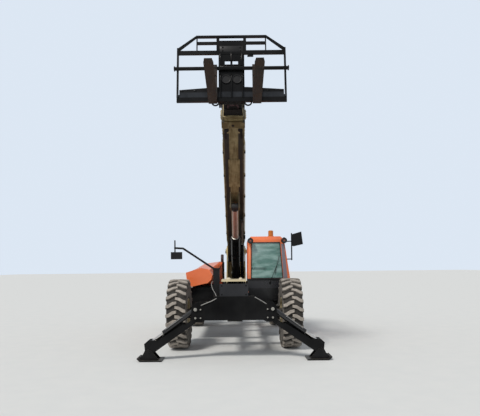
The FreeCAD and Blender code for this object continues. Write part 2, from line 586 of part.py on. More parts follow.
# Cylinders between two points of one plane; p and q are (y, z)
def cylinder_pair(x, p, q, barrel_r, rod_r, barrel_len, inside, eye_r, eye_half, pin_r):
    dy, dz = q[0] - p[0], q[1] - p[1]
    length = math.hypot(dy, dz)
    d = V(0, dy / length, dz / length)
    base = V(x, p[0], p[1])
    eye_back = tube((x - eye_half, p[0], p[1]), V(1, 0, 0), eye_r, pin_r + 0.05, 2 * eye_half)
    start = eye_r * 0.7
    shell = Part.makeCylinder(barrel_r, barrel_len - start, base + d * start, d)
    gland = Part.makeCylinder(barrel_r * 1.08, 60, base + d * (barrel_len - 60), d)
    bore = Part.makeCylinder(rod_r + 0.05, barrel_len - start - 15, base + d * (start + 15), d)
    barrel = fuse([shell, gland, eye_back])
    keep = Part.makeCylinder(pin_r + 0.05, 4 * eye_half, V(x - 2 * eye_half, p[0], p[1]), V(1, 0, 0))
    barrel = barrel.cut(bore).cut(keep)
    bar = Part.makeCylinder(rod_r, length - eye_r * 0.6 - inside, base + d * inside, d)
    eye = rod((x - eye_half, q[0], q[1]), V(1, 0, 0), eye_r, 2 * eye_half)
    return barrel, fuse([bar, eye])


def lift_cylinders():
    base = (PIVOT_Y - LIFT_BX, PIVOT_Z - LIFT_BZ)
    barrel, bar = cylinder_pair(0, base, boom_point(LIFT_A, -LIFT_E), LIFT_BARREL_R, LIFT_ROD_R,
                                LIFT_BARREL_LEN, LIFT_ROD_START, LIFT_EYE_R, LIFT_EYE_HALF, LIFT_PIN_R)
    save("lift_barrel", barrel)
    save("lift_rod", bar)
    base = (PIVOT_Y - SLAVE_BX, PIVOT_Z - SLAVE_BZ)
    barrel, bar = cylinder_pair(SLAVE_X, base, boom_point(SLAVE_A, -SLAVE_E), SLAVE_BARREL_R, SLAVE_ROD_R,
                                SLAVE_BARREL_LEN, SLAVE_ROD_START, SLAVE_EYE_R, SLAVE_EYE_HALF, SLAVE_PIN_R)
    save("slave_barrel", barrel)
    save("slave_rod", bar)


def tilt_cylinder():
    a = math.radians(PITCH)
    eye = (TILT_Y + TILT_LEVER * math.sin(a), TILT_Z + TILT_LEVER * math.cos(a))
    barrel, bar = cylinder_pair(0, boom_point(TILT_BASE_U, TILT_BASE_W), eye, TILT_BARREL_R, TILT_ROD_R,
                                TILT_BARREL_LEN, TILT_ROD_START, TILT_EYE_R, TILT_EYE_HALF, TILT_BASE_PIN_R)
    save("tilt_barrel", barrel)
    save("tilt_rod", bar)


# Outriggers, built on the left and mirrored
def leg_point(p, n):
    a = math.radians(LEG_ANGLE)
    return LEG_X + p * math.cos(a) - n * math.sin(a), LEG_Z + p * math.sin(a) + n * math.cos(a)


def leg():
    def plate(points, y0, y1):
        return slab_y([leg_point(p, n) for p, n in points], y0, y1)

    t = 15.0
    end = LEG_LEN
    low = [(-60, -45), (60, -72), (end - 110, -72), (end + 50, -45), (end + 70, 0), (end + 30, 50)]
    root = [(200, 5), (95, 5), (60, 45), (-40, 48), (-70, 0)]
    back = low + [(end - 25, 150), (end - 130, 160), (end - 250, 80), (260, 66)] + root
    front = low + [(end - 25, 150), (end - 130, 160), (end - 250, 62), (260, 40)] + root
    parts = [plate(front, LEG_Y0, LEG_Y0 + t), plate(back, LEG_Y1 - t, LEG_Y1),
             plate([(60, -72), (end - 110, -72), (end - 110, -57), (60, -57)], LEG_Y0, LEG_Y1),
             plate([(end - 110, -72), (end + 40, -47), (end + 36, -32), (end - 113, -57)], LEG_Y0, LEG_Y1)]
    x, z = leg_point(0, 0)
    parts.append(rod((x, LEG_Y0, z), V(0, 1, 0), 50, LEG_Y1 - LEG_Y0))
    x, z = leg_point(LEG_EYE_P, LEG_EYE_N)
    for y0 in (LEG_Y0 - 8, LEG_Y1):
        parts.append(rod((x, y0, z), V(0, 1, 0), 36, 8))
    body = fuse(parts)
    body = body.cut(rod((LEG_X, LEG_Y0 - 100, LEG_Z), V(0, 1, 0), LEG_PIN_R + 0.05, 500))
    x, z = leg_point(LEG_LEN, 0)
    return body.cut(rod((x, LEG_Y0 - 100, z), V(0, 1, 0), LEG_PIN_R + 0.05, 500))


def leg_cylinder():
    px, pz = LEG_X, LEG_Z + LEG_CYL_UP
    ex, ez = leg_point(LEG_EYE_P, LEG_EYE_N)
    length = math.hypot(ex - px, ez - pz)
    d = V((ex - px) / length, 0, (ez - pz) / length)
    y = (LEG_Y0 + LEG_Y1) / 2
    base = V(px, y, pz)
    eye = rod((px, y - LEG_EYE_HALF, pz), V(0, 1, 0), LEG_EYE_R, 2 * LEG_EYE_HALF)
    shell = Part.makeCylinder(LEG_BARREL_R, LEG_BARREL_LEN - 30, base + d * 30, d)
    bore = Part.makeCylinder(LEG_ROD_R + 0.05, LEG_BARREL_LEN - 60, base + d * 61, d)
    barrel = fuse([eye, shell]).cut(bore)
    barrel = barrel.cut(rod((px, y - 100, pz), V(0, 1, 0), LEG_PIN_R + 0.05, 200))
    bar = Part.makeCylinder(LEG_ROD_R, length - 20 - LEG_ROD_START, base + d * LEG_ROD_START, d)
    tip = rod((ex, y - 40, ez), V(0, 1, 0), 44, 80)
    return barrel, fuse([bar, tip])


def leg_pad():
    fx, fz = leg_point(LEG_LEN, 0)
    y = (LEG_Y0 + LEG_Y1) / 2
    x0, x1 = fx - PAD_IN, fx + PAD_OUT
    plate = slab_y([(x0, 0), (x1 - 60, 0), (x1, 45), (x1, 45 + PAD_T), (x1 - 66, PAD_T), (x0, PAD_T)],
                   PAD_Y0, PAD_Y1)
    parts = [plate]
    for s in (-1, 1):
        y0, y1 = sorted((y + s * 81, y + s * 101))
        lug = slab_y([(fx - 190, PAD_T - 1), (fx - 60, fz + 20), (fx, fz + 48), (fx + 52, fz + 24),
                      (fx + 95, fz - 60), (fx + 150, 62), (fx + 112, PAD_T - 1)], y0, y1)
        parts.append(lug)
    parts.append(rod((fx, y - 112, fz), V(0, 1, 0), LEG_PIN_R, 224))
    return fuse(parts)


def outriggers():
    barrel, bar = leg_cylinder()
    for name, shape in (("leg", leg()), ("pad", leg_pad()), ("leg_barrel", barrel), ("leg_rod", bar)):
        save(name + "_left", shape)
        save(name + "_right", mirror_x(shape))


# Cab: one hollow body cut into shell, door and panes
def inset(points, d):
    # move every side of a convex outline inwards by d
    n = len(points)
    pairs = [(points[i], points[(i + 1) % n]) for i in range(n)]
    area = sum(p[0] * q[1] - q[0] * p[1] for p, q in pairs)
    sign = 1 if area > 0 else -1
    lines = []
    for i in range(n):
        (x0, y0), (x1, y1) = points[i], points[(i + 1) % n]
        length = math.hypot(x1 - x0, y1 - y0)
        nx, ny = -(y1 - y0) / length * sign, (x1 - x0) / length * sign
        lines.append((x0 + nx * d, y0 + ny * d, x1 - x0, y1 - y0))
    out = []
    for i in range(n):
        ax, ay, au, av = lines[i - 1]
        bx, by, bu, bv = lines[i]
        t = ((bx - ax) * bv - (by - ay) * bu) / (au * bv - av * bu)
        out.append((ax + au * t, ay + av * t))
    return out


def cab_solid(d):
    across = slab_y(inset(CAB_SIDE, d), CAB_Y0 - 10, CAB_Y1 + 10)
    along = slab_x(inset(CAB_PROFILE, d), CAB_X0 - 10, 1300.0)
    return across.common(along)


CAB_WINDOWS = (
    # windshield, boom side, rear, and the quarter pane behind the door
    slab_y([(345, SCREEN_LOW), (1062, SCREEN_LOW), (1012, SCREEN_TOP), (365, SCREEN_TOP)], -50, 260),
    slab_x([(240, 1450), (330, 2060), (1330, 2060), (1420, 1450)], 200, 400),
    box(400, 1020, 1380, 1600, 1420, 2060),
    slab_x([(1185, 1450), (1180, 2060), (1370, 2060), (1420, 1450)], 900, 1400),
)
DOOR_WINDOW = slab_x([(285, 1390), (330, 2075), (1050, 2075), (1060, 1390)], 900, 1400)


def cab():
    wall = cab_solid(0).cut(cab_solid(CAB_WALL))
    pane = cab_solid(GLASS_IN).cut(cab_solid(GLASS_IN + GLASS_T))
    x0, x1, y0, y1, z0, z1 = DOOR_BOX
    doorway = box(x0, x1, y0, y1, z0, z1)
    g = DOOR_GAP
    leaf = wall.common(box(x0 + g, x1, y0 + g, y1 - g, z0 + g, z1 - g))
    shell = wall.cut(doorway)
    panes = []
    for window in CAB_WINDOWS:
        shell = shell.cut(window)
        panes.append(pane.common(window))
    hx, hy = DOOR_HINGE
    half = HINGE_HALF
    brackets = []
    knuckles = []
    for z in DOOR_HINGE_ZS:
        for z0 in (z - half - 22, z + half + 2):
            brackets.append(rod((hx, hy, z0), V(0, 0, 1), HINGE_R, 20))
            brackets.append(box(hx - 70, hx + HINGE_R, y1 + 2, y1 + 45, z0, z0 + 20))
            brackets.append(box(hx - HINGE_R, hx + HINGE_R, hy, y1 + 10, z0, z0 + 20))
        brackets.append(rod((hx, hy, z - half - 22), V(0, 0, 1), HINGE_PIN_R, 2 * half + 44))
        knuckles.append(rod((hx, hy, z - half), V(0, 0, 1), HINGE_R, 2 * half))
        knuckles.append(box(hx - 70, hx + HINGE_R, hy - 64, hy, z - half, z + half))
    shell = fuse([shell] + [b.cut(cab_solid(CAB_WALL - 5)) for b in brackets])
    save("cab_shell", shell)
    save("cab_glass", Part.makeCompound(panes))
    handle = rod((1246, 300, 1290), V(0, 1, 0), 12, 150)
    posts = [rod((1190, y, 1290), V(1, 0, 0), 8, 56) for y in (310, 440)]
    knuckles = [k.cut(cab_solid(CAB_WALL - 5)) for k in knuckles]
    frame = fuse([leaf.cut(DOOR_WINDOW)] + knuckles + posts + [handle])
    save("cab_door", frame.cut(rod((hx, hy, 900), V(0, 0, 1), HINGE_PIN_R + 0.05, 1200)))
    save("door_glass", pane.common(DOOR_WINDOW))


def cab_console():
    floor = CAB_FLOOR_Z + CAB_WALL
    parts = [box(330, 1120, 120, 1400, floor, floor + 8),
             box(520, 940, 820, 1200, floor, floor + 300),
             slab_x([(90, floor), (85, 1290), (190, 1290), (320, 1180), (330, floor)], 560, 1000),
             box(960, 1050, 700, 1150, floor, floor + 480)]
    column = Part.makeCylinder(35, 330, V(760, 260, 1150), V(0, 0.55, 0.835))
    wheel_c = V(760, 260, 1150) + V(0, 0.55, 0.835) * 330
    wheel = Part.makeTorus(185, 15, wheel_c, V(0, 0.55, 0.835))
    spokes = Part.makeBox(360, 30, 16, V(580, -15, -8))
    spokes.rotate(V(760, 0, 0), V(1, 0, 0), -33.4)
    spokes.translate(V(0, wheel_c.y, wheel_c.z))
    parts += [column, wheel, spokes]
    for x in (985, 1025):
        parts.append(rod((x, 800, floor + 470), V(0, -0.1, 1), 9, 150))
        parts.append(Part.makeSphere(24, V(x, 785, floor + 625)))
    return fuse(parts)


def operator_seat():
    z = CAB_FLOOR_Z + CAB_WALL + 300 + SEAT_GAP
    cushion = box(500, 950, 760, 1230, z, z + 130)
    back = slab_x([(1130, z + 130), (1230, z + 130), (1330, z + 720), (1240, z + 740)], 510, 940)
    edges = [e for e in cushion.Edges if abs(e.CenterOfMass.z - z - 130) < 1]
    cushion = cushion.makeFillet(40, edges)
    return fuse([cushion, back])


# Engine side: tray, plain engine, hood
def engine_bay():
    x0, x1, y0, y1 = BAY_X0, BAY_X1, BAY_Y0, BAY_Y1
    parts = [box(x0, x1, y0, y1, BAY_FLOOR, BAY_FLOOR + 20),
             box(x0, x1, y0, y0 + 20, BAY_FLOOR, 1140), box(x0, x1, y1 - 20, y1, BAY_FLOOR, 1140),
             box(x0, x0 + 15, y0, y1, BAY_FLOOR, 960),
             box(x1 - 15, x1, y0, y1, BAY_FLOOR, 1100)]
    # rubbing strips under the hood
    parts.append(box(x0 + 60, x1 - 120, y1 - 20, y1 + 4, 1100, 1149.7))
    parts.append(box(x0 + 60, x1 - 200, y0 - 20, y0 + 20, 1100, 1160))
    # hinge brackets and pins of the hood
    hx, hz = HOOD_HINGE
    half = HINGE_HALF
    for y in HOOD_HINGE_YS:
        parts.append(box(hx - 10, x1 - 1, y - half - 12, y + half + 12, 1080, 1110))
        for y0 in (y - half - 12, y + half + 2):
            parts.append(box(hx - 10, hx + 22, y0, y0 + 10, 1100, hz))
            parts.append(rod((hx, y0, hz), V(0, 1, 0), HINGE_R, 10))
        parts.append(rod((hx, y - half - 12, hz), V(0, 1, 0), HINGE_PIN_R, 2 * half + 24))
    return fuse(parts)


def engine_block():
    return box(-960, -545, 250, 1350, BAY_FLOOR + 20, ENGINE_TOP)


def hood_loft(front, back, y0, y1):
    wires = []
    for points, y in ((front, y0), (back, y1)):
        pts = [V(x, y, z) for x, z in points]
        wires.append(Part.makePolygon(pts + [pts[0]]))
    return Part.makeLoft(wires, True, True)


def hood():
    outer = hood_loft(HOOD_FRONT, HOOD_BACK, HOOD_FRONT_Y, HOOD_BACK_Y)
    centre = (-740.0, 1400.0)

    def shrink(points, c, d):
        out = []
        for x, z in points:
            dx, dz = c[0] - x, c[1] - z
            length = math.hypot(dx, dz)
            out.append((x + dx / length * d, z + dz / length * d))
        # the underside stays open: its two ends drop below the skin
        out[0] = (points[0][0] - d, points[0][1] - 60)
        out[-1] = (points[-1][0] + d, points[-1][1] - 60)
        return out

    thick = HOOD_WALL * 1.5
    inner = hood_loft(shrink(HOOD_FRONT, centre, thick), shrink(HOOD_BACK, centre, thick),
                      HOOD_FRONT_Y + HOOD_WALL, HOOD_BACK_Y - HOOD_WALL)
    skin = outer.cut(inner)
    hx, hz = HOOD_HINGE
    for y in HOOD_HINGE_YS:
        y0, y1 = y - HINGE_HALF, y + HINGE_HALF
        tab = slab_y([(hx - 8, hz + 10), (hx + 4, hz - 10), (hx - 138, hz - 82),
                      (hx - 153, hz - 47)], y0, y1)
        skin = fuse([skin, tab, rod((hx, y0, hz), V(0, 1, 0), HINGE_R, y1 - y0)])
    return skin.cut(rod((hx, HOOD_FRONT_Y, hz), V(0, 1, 0), HINGE_PIN_R + 0.05, HOOD_BACK_Y - HOOD_FRONT_Y))


def fuel_tank():
    body = slab_y([(300, 560), (1090, 560), (1150, 620), (1150, 830), (300, 830)], 180, 1380)
    foot = [box(1120, 1270, y0, y0 + 320, z, z + 20) for y0, z in ((420, 560), (420, 760))]
    ends = [box(1140, 1270, y, y + 14, 545, 790) for y in (406, 740)]
    lugs = [box(266, 310, y, y + 80, 730, 840) for y in (260, 1220)]
    return fuse([body] + foot + ends + lugs)


def exhaust():
    pipe = rod((-350, 1925, 1100), V(0, 0, 1), 38, 700)
    tip = Part.makeCylinder(38, 130, V(-350, 1925, 1795), V(0, 0.4, 0.917))
    flange = box(-400, -266, 1880, 1970, 1080, 1110)
    return fuse([pipe, tip, flange])


def tube_path(points, r):
    parts = []
    for i in range(len(points) - 1):
        p, q = V(*points[i]), V(*points[i + 1])
        parts.append(Part.makeCylinder(r, (q - p).Length, p, q - p))
        parts.append(Part.makeSphere(r, q))
    return parts


def mirror_right():
    box_y0, box_y1 = -1945.0, -1765.0
    pylon = box(-375, -266, box_y0, box_y1, 1015, 1565)
    cap = box(-385, -256, box_y0 - 10, box_y1 + 10, 1565, 1590)
    y = (box_y0 + box_y1) / 2
    arm = tube_path(((-340, y, 1560), (-400, y, 1600), (-920, y, 1950), (-1068, y, 1960)), 18)
    stem = rod((-1068, y, 1870), V(0, 0, 1), 12, 230)
    glass = box(-1140, -936, y - 35, y - 5, 1755, 1885)
    clip = box(-1085, -1050, y - 12, y + 12, 1840, 1885)
    return fuse([pylon, cap, stem, glass, clip] + arm)


def mirror_left():
    y = 62.0
    post = rod((1258, y, 1740), V(0, 0, 1), 14, 600)
    arms = []
    for x0, y0, z in ((1060, 190, 2160), (1120, 150, 1765)):
        d = V(1258 - x0, y - y0, 0)
        arms.append(Part.makeCylinder(11, d.Length, V(x0, y0, z), d))
    head = slab_y([(1262, 2310), (1470, 2370), (1505, 2090), (1300, 2045), (1262, 2060)], y - 40, y + 20)
    return fuse([post, head] + arms).cut(cab_solid(0))


def lamps():
    parts = []
    for x in (345, 1090):
        parts.append(rod((x, -10, LAMP_Z), V(0, 1, 0), 62, 95))
        parts.append(box(x - 15, x + 15, 20, 160, LAMP_Z - 10, LAMP_Z + 70))
    return parts


def save_fittings():
    lamp = lamps()
    shell = cab_solid(0)
    save("work_lamp_right", fuse(lamp[0:2]).cut(shell))
    save("work_lamp_left", fuse(lamp[2:4]).cut(shell))
    base = rod((830, 560, CAB_ROOF), V(0, 0, 1), 70, 28)
    dome = rod((830, 560, CAB_ROOF + 28), V(0, 0, 1), 58, 130)
    save("beacon", fuse([base, dome.makeFillet(25, [dome.Edges[0]])]))
    back = TAIL_Y + WEIGHT_T
    for name, s in (("tail_lamp_right", -1), ("tail_lamp_left", 1)):
        x0, x1 = sorted((s * (WEIGHT_HALF - 220), s * (WEIGHT_HALF - 70)))
        block = box(x0, x1, back - 120, back - 20, WEIGHT_TOP - 80, WEIGHT_TOP)
        save(name, block.cut(slab_y(WEIGHT_OUTLINE, TAIL_Y, back)))


wheels()
save("main_frame", main_frame())
save("stabilizer_beam", stabilizer_beam())
save("nose_guard", nose_guard())
save("counterweight", counterweight())
save("boom_outer", boom_outer())
save("boom_mid1", boom_mid(MID1_BACK, MID1_END, MID1_A, MID1_B, MID1_WALL,
                           (OUTER_A - OUTER_WALL, OUTER_B - OUTER_WALL), (MID2_A, MID2_B)))
save("boom_mid2", boom_mid(MID2_BACK, MID2_END, MID2_A, MID2_B, MID2_WALL,
                           (MID1_A - MID1_WALL, MID1_B - MID1_WALL), (FLY_A, FLY_B)))
save("boom_fly", boom_fly())
save("carriage", carriage_body())
for fork_name, fork_x in FORK_XS:
    save(fork_name, fork(fork_x))
lift_cylinders()
tilt_cylinder()
outriggers()
cab()
save("cab_console", cab_console())
save("operator_seat", operator_seat())
save("engine_bay", engine_bay())
save("engine_block", engine_block())
save("hood", hood())
save("fuel_tank", fuel_tank())
save("exhaust", exhaust())
save("mirror_right", mirror_right())
save("mirror_left", mirror_left())
save_fittings()
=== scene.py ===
import math

import bmesh
import bpy
from mathutils import Matrix, Vector


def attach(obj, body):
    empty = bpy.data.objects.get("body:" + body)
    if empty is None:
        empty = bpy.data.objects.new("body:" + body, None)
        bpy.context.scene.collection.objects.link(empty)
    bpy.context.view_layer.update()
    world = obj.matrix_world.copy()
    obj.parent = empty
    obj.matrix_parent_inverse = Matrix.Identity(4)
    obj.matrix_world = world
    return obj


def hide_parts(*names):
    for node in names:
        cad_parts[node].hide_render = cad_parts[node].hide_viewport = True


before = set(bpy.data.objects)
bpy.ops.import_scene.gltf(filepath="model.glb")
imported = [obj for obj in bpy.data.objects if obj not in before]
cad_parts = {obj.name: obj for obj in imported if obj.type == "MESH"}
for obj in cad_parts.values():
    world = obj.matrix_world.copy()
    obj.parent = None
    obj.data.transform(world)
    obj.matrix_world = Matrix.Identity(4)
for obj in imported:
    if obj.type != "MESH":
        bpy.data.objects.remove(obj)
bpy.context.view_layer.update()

# The ground, the light and the view: a plain pale yard floor under a soft overcast dome
# with one broad lamp high in front, seen by a person who stands ten metres ahead of the
# machine with the camera a touch off level and its lens shifted up to take in the raised boom.
def linked(name, data):
    """A new object in the scene."""
    made = bpy.data.objects.new(name, data)
    bpy.context.scene.collection.objects.link(made)
    return made


camera = linked("view", bpy.data.cameras.new("view"))
camera.data.lens = 36.0
camera.data.sensor_width = 36.0
camera.data.shift_y = 0.121
camera.data.clip_end = 200.0
camera.location = (0.11, -10.575, 1.62)
camera.rotation_euler = (math.radians(90.0), math.radians(0.6), 0.0)
bpy.context.scene.camera = camera
bpy.context.scene.view_settings.view_transform = "Standard"


class Tone:
    """A shader socket in a sum: the signs add Math nodes, and node() adds any other."""

    def __init__(self, tree, socket):
        self.tree = tree
        self.socket = socket

    def node(self, kind, settings=None, values=None, out=0):
        made = self.tree.nodes.new(kind)
        for key, value in (settings or {}).items():
            if key == "stops":
                stops = made.color_ramp.elements
                for place, colour in value[1:-1]:
                    stops.new(place).color = colour
                stops[0].position, stops[0].color = value[0]
                stops[-1].position, stops[-1].color = value[-1]
            else:
                setattr(made, key, value)
        for key, value in (values or {}).items():
            if isinstance(value, Tone):
                self.tree.links.new(value.socket, made.inputs[key])
            else:
                made.inputs[key].default_value = value
        return Tone(self.tree, made.outputs[out])

    def sum(self, sign, a, b=0.0):
        return self.node("ShaderNodeMath", {"operation": sign}, {0: a, 1: b})

    def most(self, other):
        return self.sum("MAXIMUM", self, other)

    def __add__(self, other):
        return self.sum("ADD", self, other)

    def __radd__(self, other):
        return self.sum("ADD", other, self)

    def __sub__(self, other):
        return self.sum("SUBTRACT", self, other)

    def __rsub__(self, other):
        return self.sum("SUBTRACT", other, self)

    def __mul__(self, other):
        return self.sum("MULTIPLY", self, other)

    def ramp(self, low, high):
        """0 below low, 1 above high, straight between them."""
        return self.node("ShaderNodeMapRange", {"clamp": True}, {0: self, 1: low, 2: high})

    def fall(self, low, high):
        """1 below low, 0 above high."""
        return 1.0 - self.ramp(low, high)

    def axis(self, letter):
        return self.node("ShaderNodeSeparateXYZ", values={0: self}, out="XYZ".index(letter))

    def stretched(self, x, y, z):
        return self.node("ShaderNodeMapping", values={"Vector": self, "Scale": (x, y, z)})

    def mottle(self, scale, detail=3.0, rough=0.55):
        """Soft noise of 0 to 1 whose blots are about 1 / scale metres wide."""
        return self.node("ShaderNodeTexNoise", values={"Vector": self, "Scale": scale, "Detail": detail,
                                                       "Roughness": rough})

    def ribs(self, letter, scale):
        """Fine even ribs across an axis, 0 in the valleys and 1 on the crests."""
        return self.node("ShaderNodeTexWave", {"bands_direction": letter}, {"Vector": self, "Scale": scale})

    def blend(self, a, b):
        """Colour a where this tone is 0 and colour b where it is 1."""
        a, b = [c if isinstance(c, Tone) else (*c, 1.0) for c in (a, b)]
        return self.node("ShaderNodeMix", {"data_type": "RGBA"}, {0: self, 6: a, 7: b}, out=2)


def new_finish(name, shine=0.5, **fixed):
    """A material whose shader sockets are set, with its place and facing on the object."""
    material = bpy.data.materials.new(name)
    material.use_nodes = True
    tree = material.node_tree
    shader = tree.nodes["Principled BSDF"]
    for key, value in {"Specular_IOR_Level": shine, **fixed}.items():
        socket = shader.inputs[key.replace("_", " ")]
        socket.default_value = (*value, 1.0) if isinstance(value, tuple) and len(value) == 3 else value
    where = tree.nodes.new("ShaderNodeTexCoord")
    return material, shader, Tone(tree, where.outputs["Object"]), Tone(tree, where.outputs["Normal"])


def feed(shader, **tones):
    """Links tones to the shader's sockets."""
    for key, tone in tones.items():
        shader.id_data.links.new(tone.socket, shader.inputs[key.replace("_", " ")])


def dent(height, strength, depth):
    """The facing of a surface that height lifts by up to depth metres."""
    return height.node("ShaderNodeBump", values={"Height": height, "Strength": strength, "Distance": depth})


yard, shader, place, facing = new_finish("yard_floor", Roughness=0.9, shine=0.1)
speckle = place.mottle(3.0, 6.0)
feed(shader, Base_Color=speckle.blend((0.66, 0.67, 0.66), (0.72, 0.72, 0.70)))
floor = linked("yard", bpy.data.meshes.new("yard"))
floor.data.from_pydata([(-60, -60, 0), (60, -60, 0), (60, 120, 0), (-60, 120, 0)], [], [(0, 1, 2, 3)])
floor.data.materials.append(yard)

world = bpy.data.worlds.new("sky")
world.use_nodes = True
bpy.context.scene.world = world
sky = world.node_tree.nodes["Background"]
rays = world.node_tree.nodes.new("ShaderNodeLightPath")
shade = Tone(world.node_tree, rays.outputs["Is Camera Ray"])
shade = shade.most(Tone(world.node_tree, rays.outputs["Is Transmission Ray"]))
feed(sky, Color=shade.blend((0.80, 0.84, 0.90), (0.72, 0.80, 0.90)), Strength=0.62 + shade * 0.38)
lamp = linked("broad_lamp", bpy.data.lights.new("broad_lamp", "SUN"))
lamp.data.energy = 2.1
lamp.data.angle = math.radians(12.0)
lamp.data.color = (1.0, 0.97, 0.92)
lamp.rotation_euler = (math.radians(38.0), math.radians(-8.0), math.radians(-24.0))

# The tyres: four all-steel-belted dirt tyres of 1.37 m, moulded rubber with bars that run
# from the middle to the shoulders in turn, grey-brown with dried yard dust on the bars
# and near black down in the grooves as painted shade.
HUB_X, HUB_Z = 1.1025, 0.685
AXLES = {"front": -0.975, "rear": 2.735}
SIDES = {"right": -1, "left": 1}
CORNERS = [(end + "_" + name, side, axle_y) for end, axle_y in AXLES.items() for name, side in SIDES.items()]


def mounted(piece, body):
    """Fixes a piece to the body that carries it."""
    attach(piece, body)
    return piece


def new_piece(name, points, faces, finish, body=None):
    """A mesh piece at its place in the row frame, with its faces outwards."""
    mesh = bpy.data.meshes.new(name)
    mesh.from_pydata([Vector(p) for p in points], [], faces)
    mesh.materials.append(finish)
    piece = linked(name, mesh)
    work = bmesh.new()
    work.from_mesh(mesh)
    bmesh.ops.remove_doubles(work, verts=work.verts, dist=1e-6)
    bmesh.ops.recalc_face_normals(work, faces=work.faces)
    work.to_mesh(mesh)
    work.free()
    return mounted(piece, body) if body else piece


def soften(piece, angle=35.0):
    """Smooth shading up to an angle between faces."""
    for face in piece.data.polygons:
        face.use_smooth = True
    piece.data.set_sharp_from_angle(angle=math.radians(angle))
    return piece


def turned_ring(name, profile, centre, steps, finish, body=None, axis=0, way=1):
    """A closed outline of (radius, along) turned about an axis; way -1 turns it end for end."""
    points, faces = [], []
    u, v = (axis + 1) % 3, (axis + 2) % 3
    count = len(profile)
    for i in range(steps):
        turn = 2.0 * math.pi * i / steps
        for radius, along in profile:
            p = list(centre)
            p[axis] += way * along
            p[u] += radius * math.cos(turn)
            p[v] += radius * math.sin(turn)
            points.append(p)
    for i in range(steps):
        j = (i + 1) % steps
        for k in range(count):
            m = (k + 1) % count
            if profile[k][0] < 1e-9 and profile[m][0] < 1e-9:
                continue
            faces.append((i * count + k, i * count + m, j * count + m, j * count + k))
    return soften(new_piece(name, points, faces, finish, body))


def tree_of_copies(name, sockets, copies_of):
    """A geometry tree with named inputs; copies_of lays out the copies, which get a finish."""
    tree = bpy.data.node_groups.new(name, "GeometryNodeTree")
    kinds = {"Piece": "Geometry", "Count": "Int", "Finish": "Material"}
    for socket in sockets:
        kind = kinds.get(socket, "Vector")
        tree.interface.new_socket(socket, in_out="INPUT", socket_type="NodeSocket" + kind)
    tree.interface.new_socket("Piece", in_out="OUTPUT", socket_type="NodeSocketGeometry")
    start = tree.nodes.new("NodeGroupInput")
    ends = [Tone(tree, start.outputs[socket]) for socket in sockets]
    copies = copies_of(*ends[:-1])
    real = copies.node("GeometryNodeRealizeInstances", values={0: copies})
    real = real.node("GeometryNodeSetMaterial", values={"Geometry": real, "Material": ends[-1]})
    tree.links.new(real.socket, tree.nodes.new("NodeGroupOutput").inputs[0])
    return tree


def about_the_hub(piece, count, centre):
    """Copies of the piece about an X axis through Centre."""
    line = count.node("GeometryNodeMeshLine", values={"Count": count, "Offset": (0.0, 0.0, 0.0)})
    angle = count.node("GeometryNodeInputIndex") * count.sum("DIVIDE", 2.0 * math.pi, count)
    about = angle.node("ShaderNodeCombineXYZ", values={0: angle})
    spread = line.node("GeometryNodeInstanceOnPoints",
                       values={"Points": line, "Instance": piece, "Rotation": about})
    return spread.node("GeometryNodeTransform", values={"Geometry": spread, "Translation": centre})


def settled(piece):
    """Makes what the modifiers show the piece's own plain mesh."""
    view = bpy.context.evaluated_depsgraph_get()
    piece.data = bpy.data.meshes.new_from_object(piece.evaluated_get(view))
    piece.modifiers.clear()
    return piece


def grow(piece, tree, **inputs):
    """Runs a geometry tree on a piece and keeps what it makes."""
    modifier = piece.modifiers.new("copies", "NODES")
    modifier.node_group = tree
    for socket in tree.interface.items_tree:
        if socket.in_out == "INPUT" and socket.name in inputs:
            modifier[socket.identifier] = inputs[socket.name]
    return settled(piece)


rubber, shader, place, facing = new_finish("tyre_rubber", shine=0.25)
wheel_depth = place.node("ShaderNodeAttribute", {"attribute_name": "tread"}, out=2)
dust = (place.mottle(9.0, 5.0) * 0.6 + place.mottle(60.0, 3.0) * 0.4).ramp(0.36, 0.64)
# Dust on the bars, and the grooves left near black as painted shade.
dust_and_groove_shade = (wheel_depth * 0.96 + 0.04) * (dust * 0.45 + 0.55)
feed(shader, Base_Color=dust_and_groove_shade.blend((0.009, 0.0085, 0.008), (0.47, 0.42, 0.365)),
     Roughness=dust_and_groove_shade * 0.2 + 0.72,
     Normal=dent(place.mottle(120.0, 4.0) * 0.5 + place.mottle(25.0, 3.0), 0.5, 0.004))

CARCASS = ((0.306, 0.168), (0.318, 0.176), (0.352, 0.181), (0.366, 0.186), (0.380, 0.183), (0.470, 0.1895),
           (0.545, 0.188), (0.556, 0.1915), (0.568, 0.188), (0.606, 0.182), (0.630, 0.168), (0.642, 0.140),
           (0.645, 0.070))
CARCASS = CARCASS + tuple((r, -x) for r, x in reversed(CARCASS)) + ((0.306, -0.12), (0.306, 0.12))
# a bar of the tread, laid out flat: along the rim and across it
BAR = ((-0.030, -0.014), (0.024, -0.014), (0.042, 0.050), (0.094, 0.128), (0.102, 0.1905), (0.043, 0.1905),
       (0.030, 0.140), (-0.018, 0.064))
BAR_PAIRS = 24


def tread_bar(side, turn):
    """Foot, shoulder and flat top of one bar, bent round the wheel."""
    points, faces = [], []
    middle = (sum(p[0] for p in BAR) / len(BAR), sum(p[1] for p in BAR) / len(BAR))
    for lift, grow_by in ((0.628, 1.16), (0.675, 1.0), (0.6845, 0.90)):
        for along, across in BAR:
            a = middle[0] + (along - middle[0]) * grow_by
            x = min(middle[1] + (across - middle[1]) * grow_by, 0.1915)
            fall = max(0.0, (abs(x) - 0.13) / 0.06)
            radius = lift - 0.012 * fall if lift > 0.65 else lift - 0.03 * fall
            angle = turn + a / 0.67
            points.append((side * x, radius * math.cos(angle), radius * math.sin(angle)))
    n = len(BAR)
    for ring in (0, n):
        for k in range(n):
            m = (k + 1) % n
            faces.append((ring + k, ring + m, ring + n + m, ring + n + k))
    faces.append(tuple(range(2 * n, 3 * n)))
    faces.append(tuple(reversed(range(n))))
    return points, faces


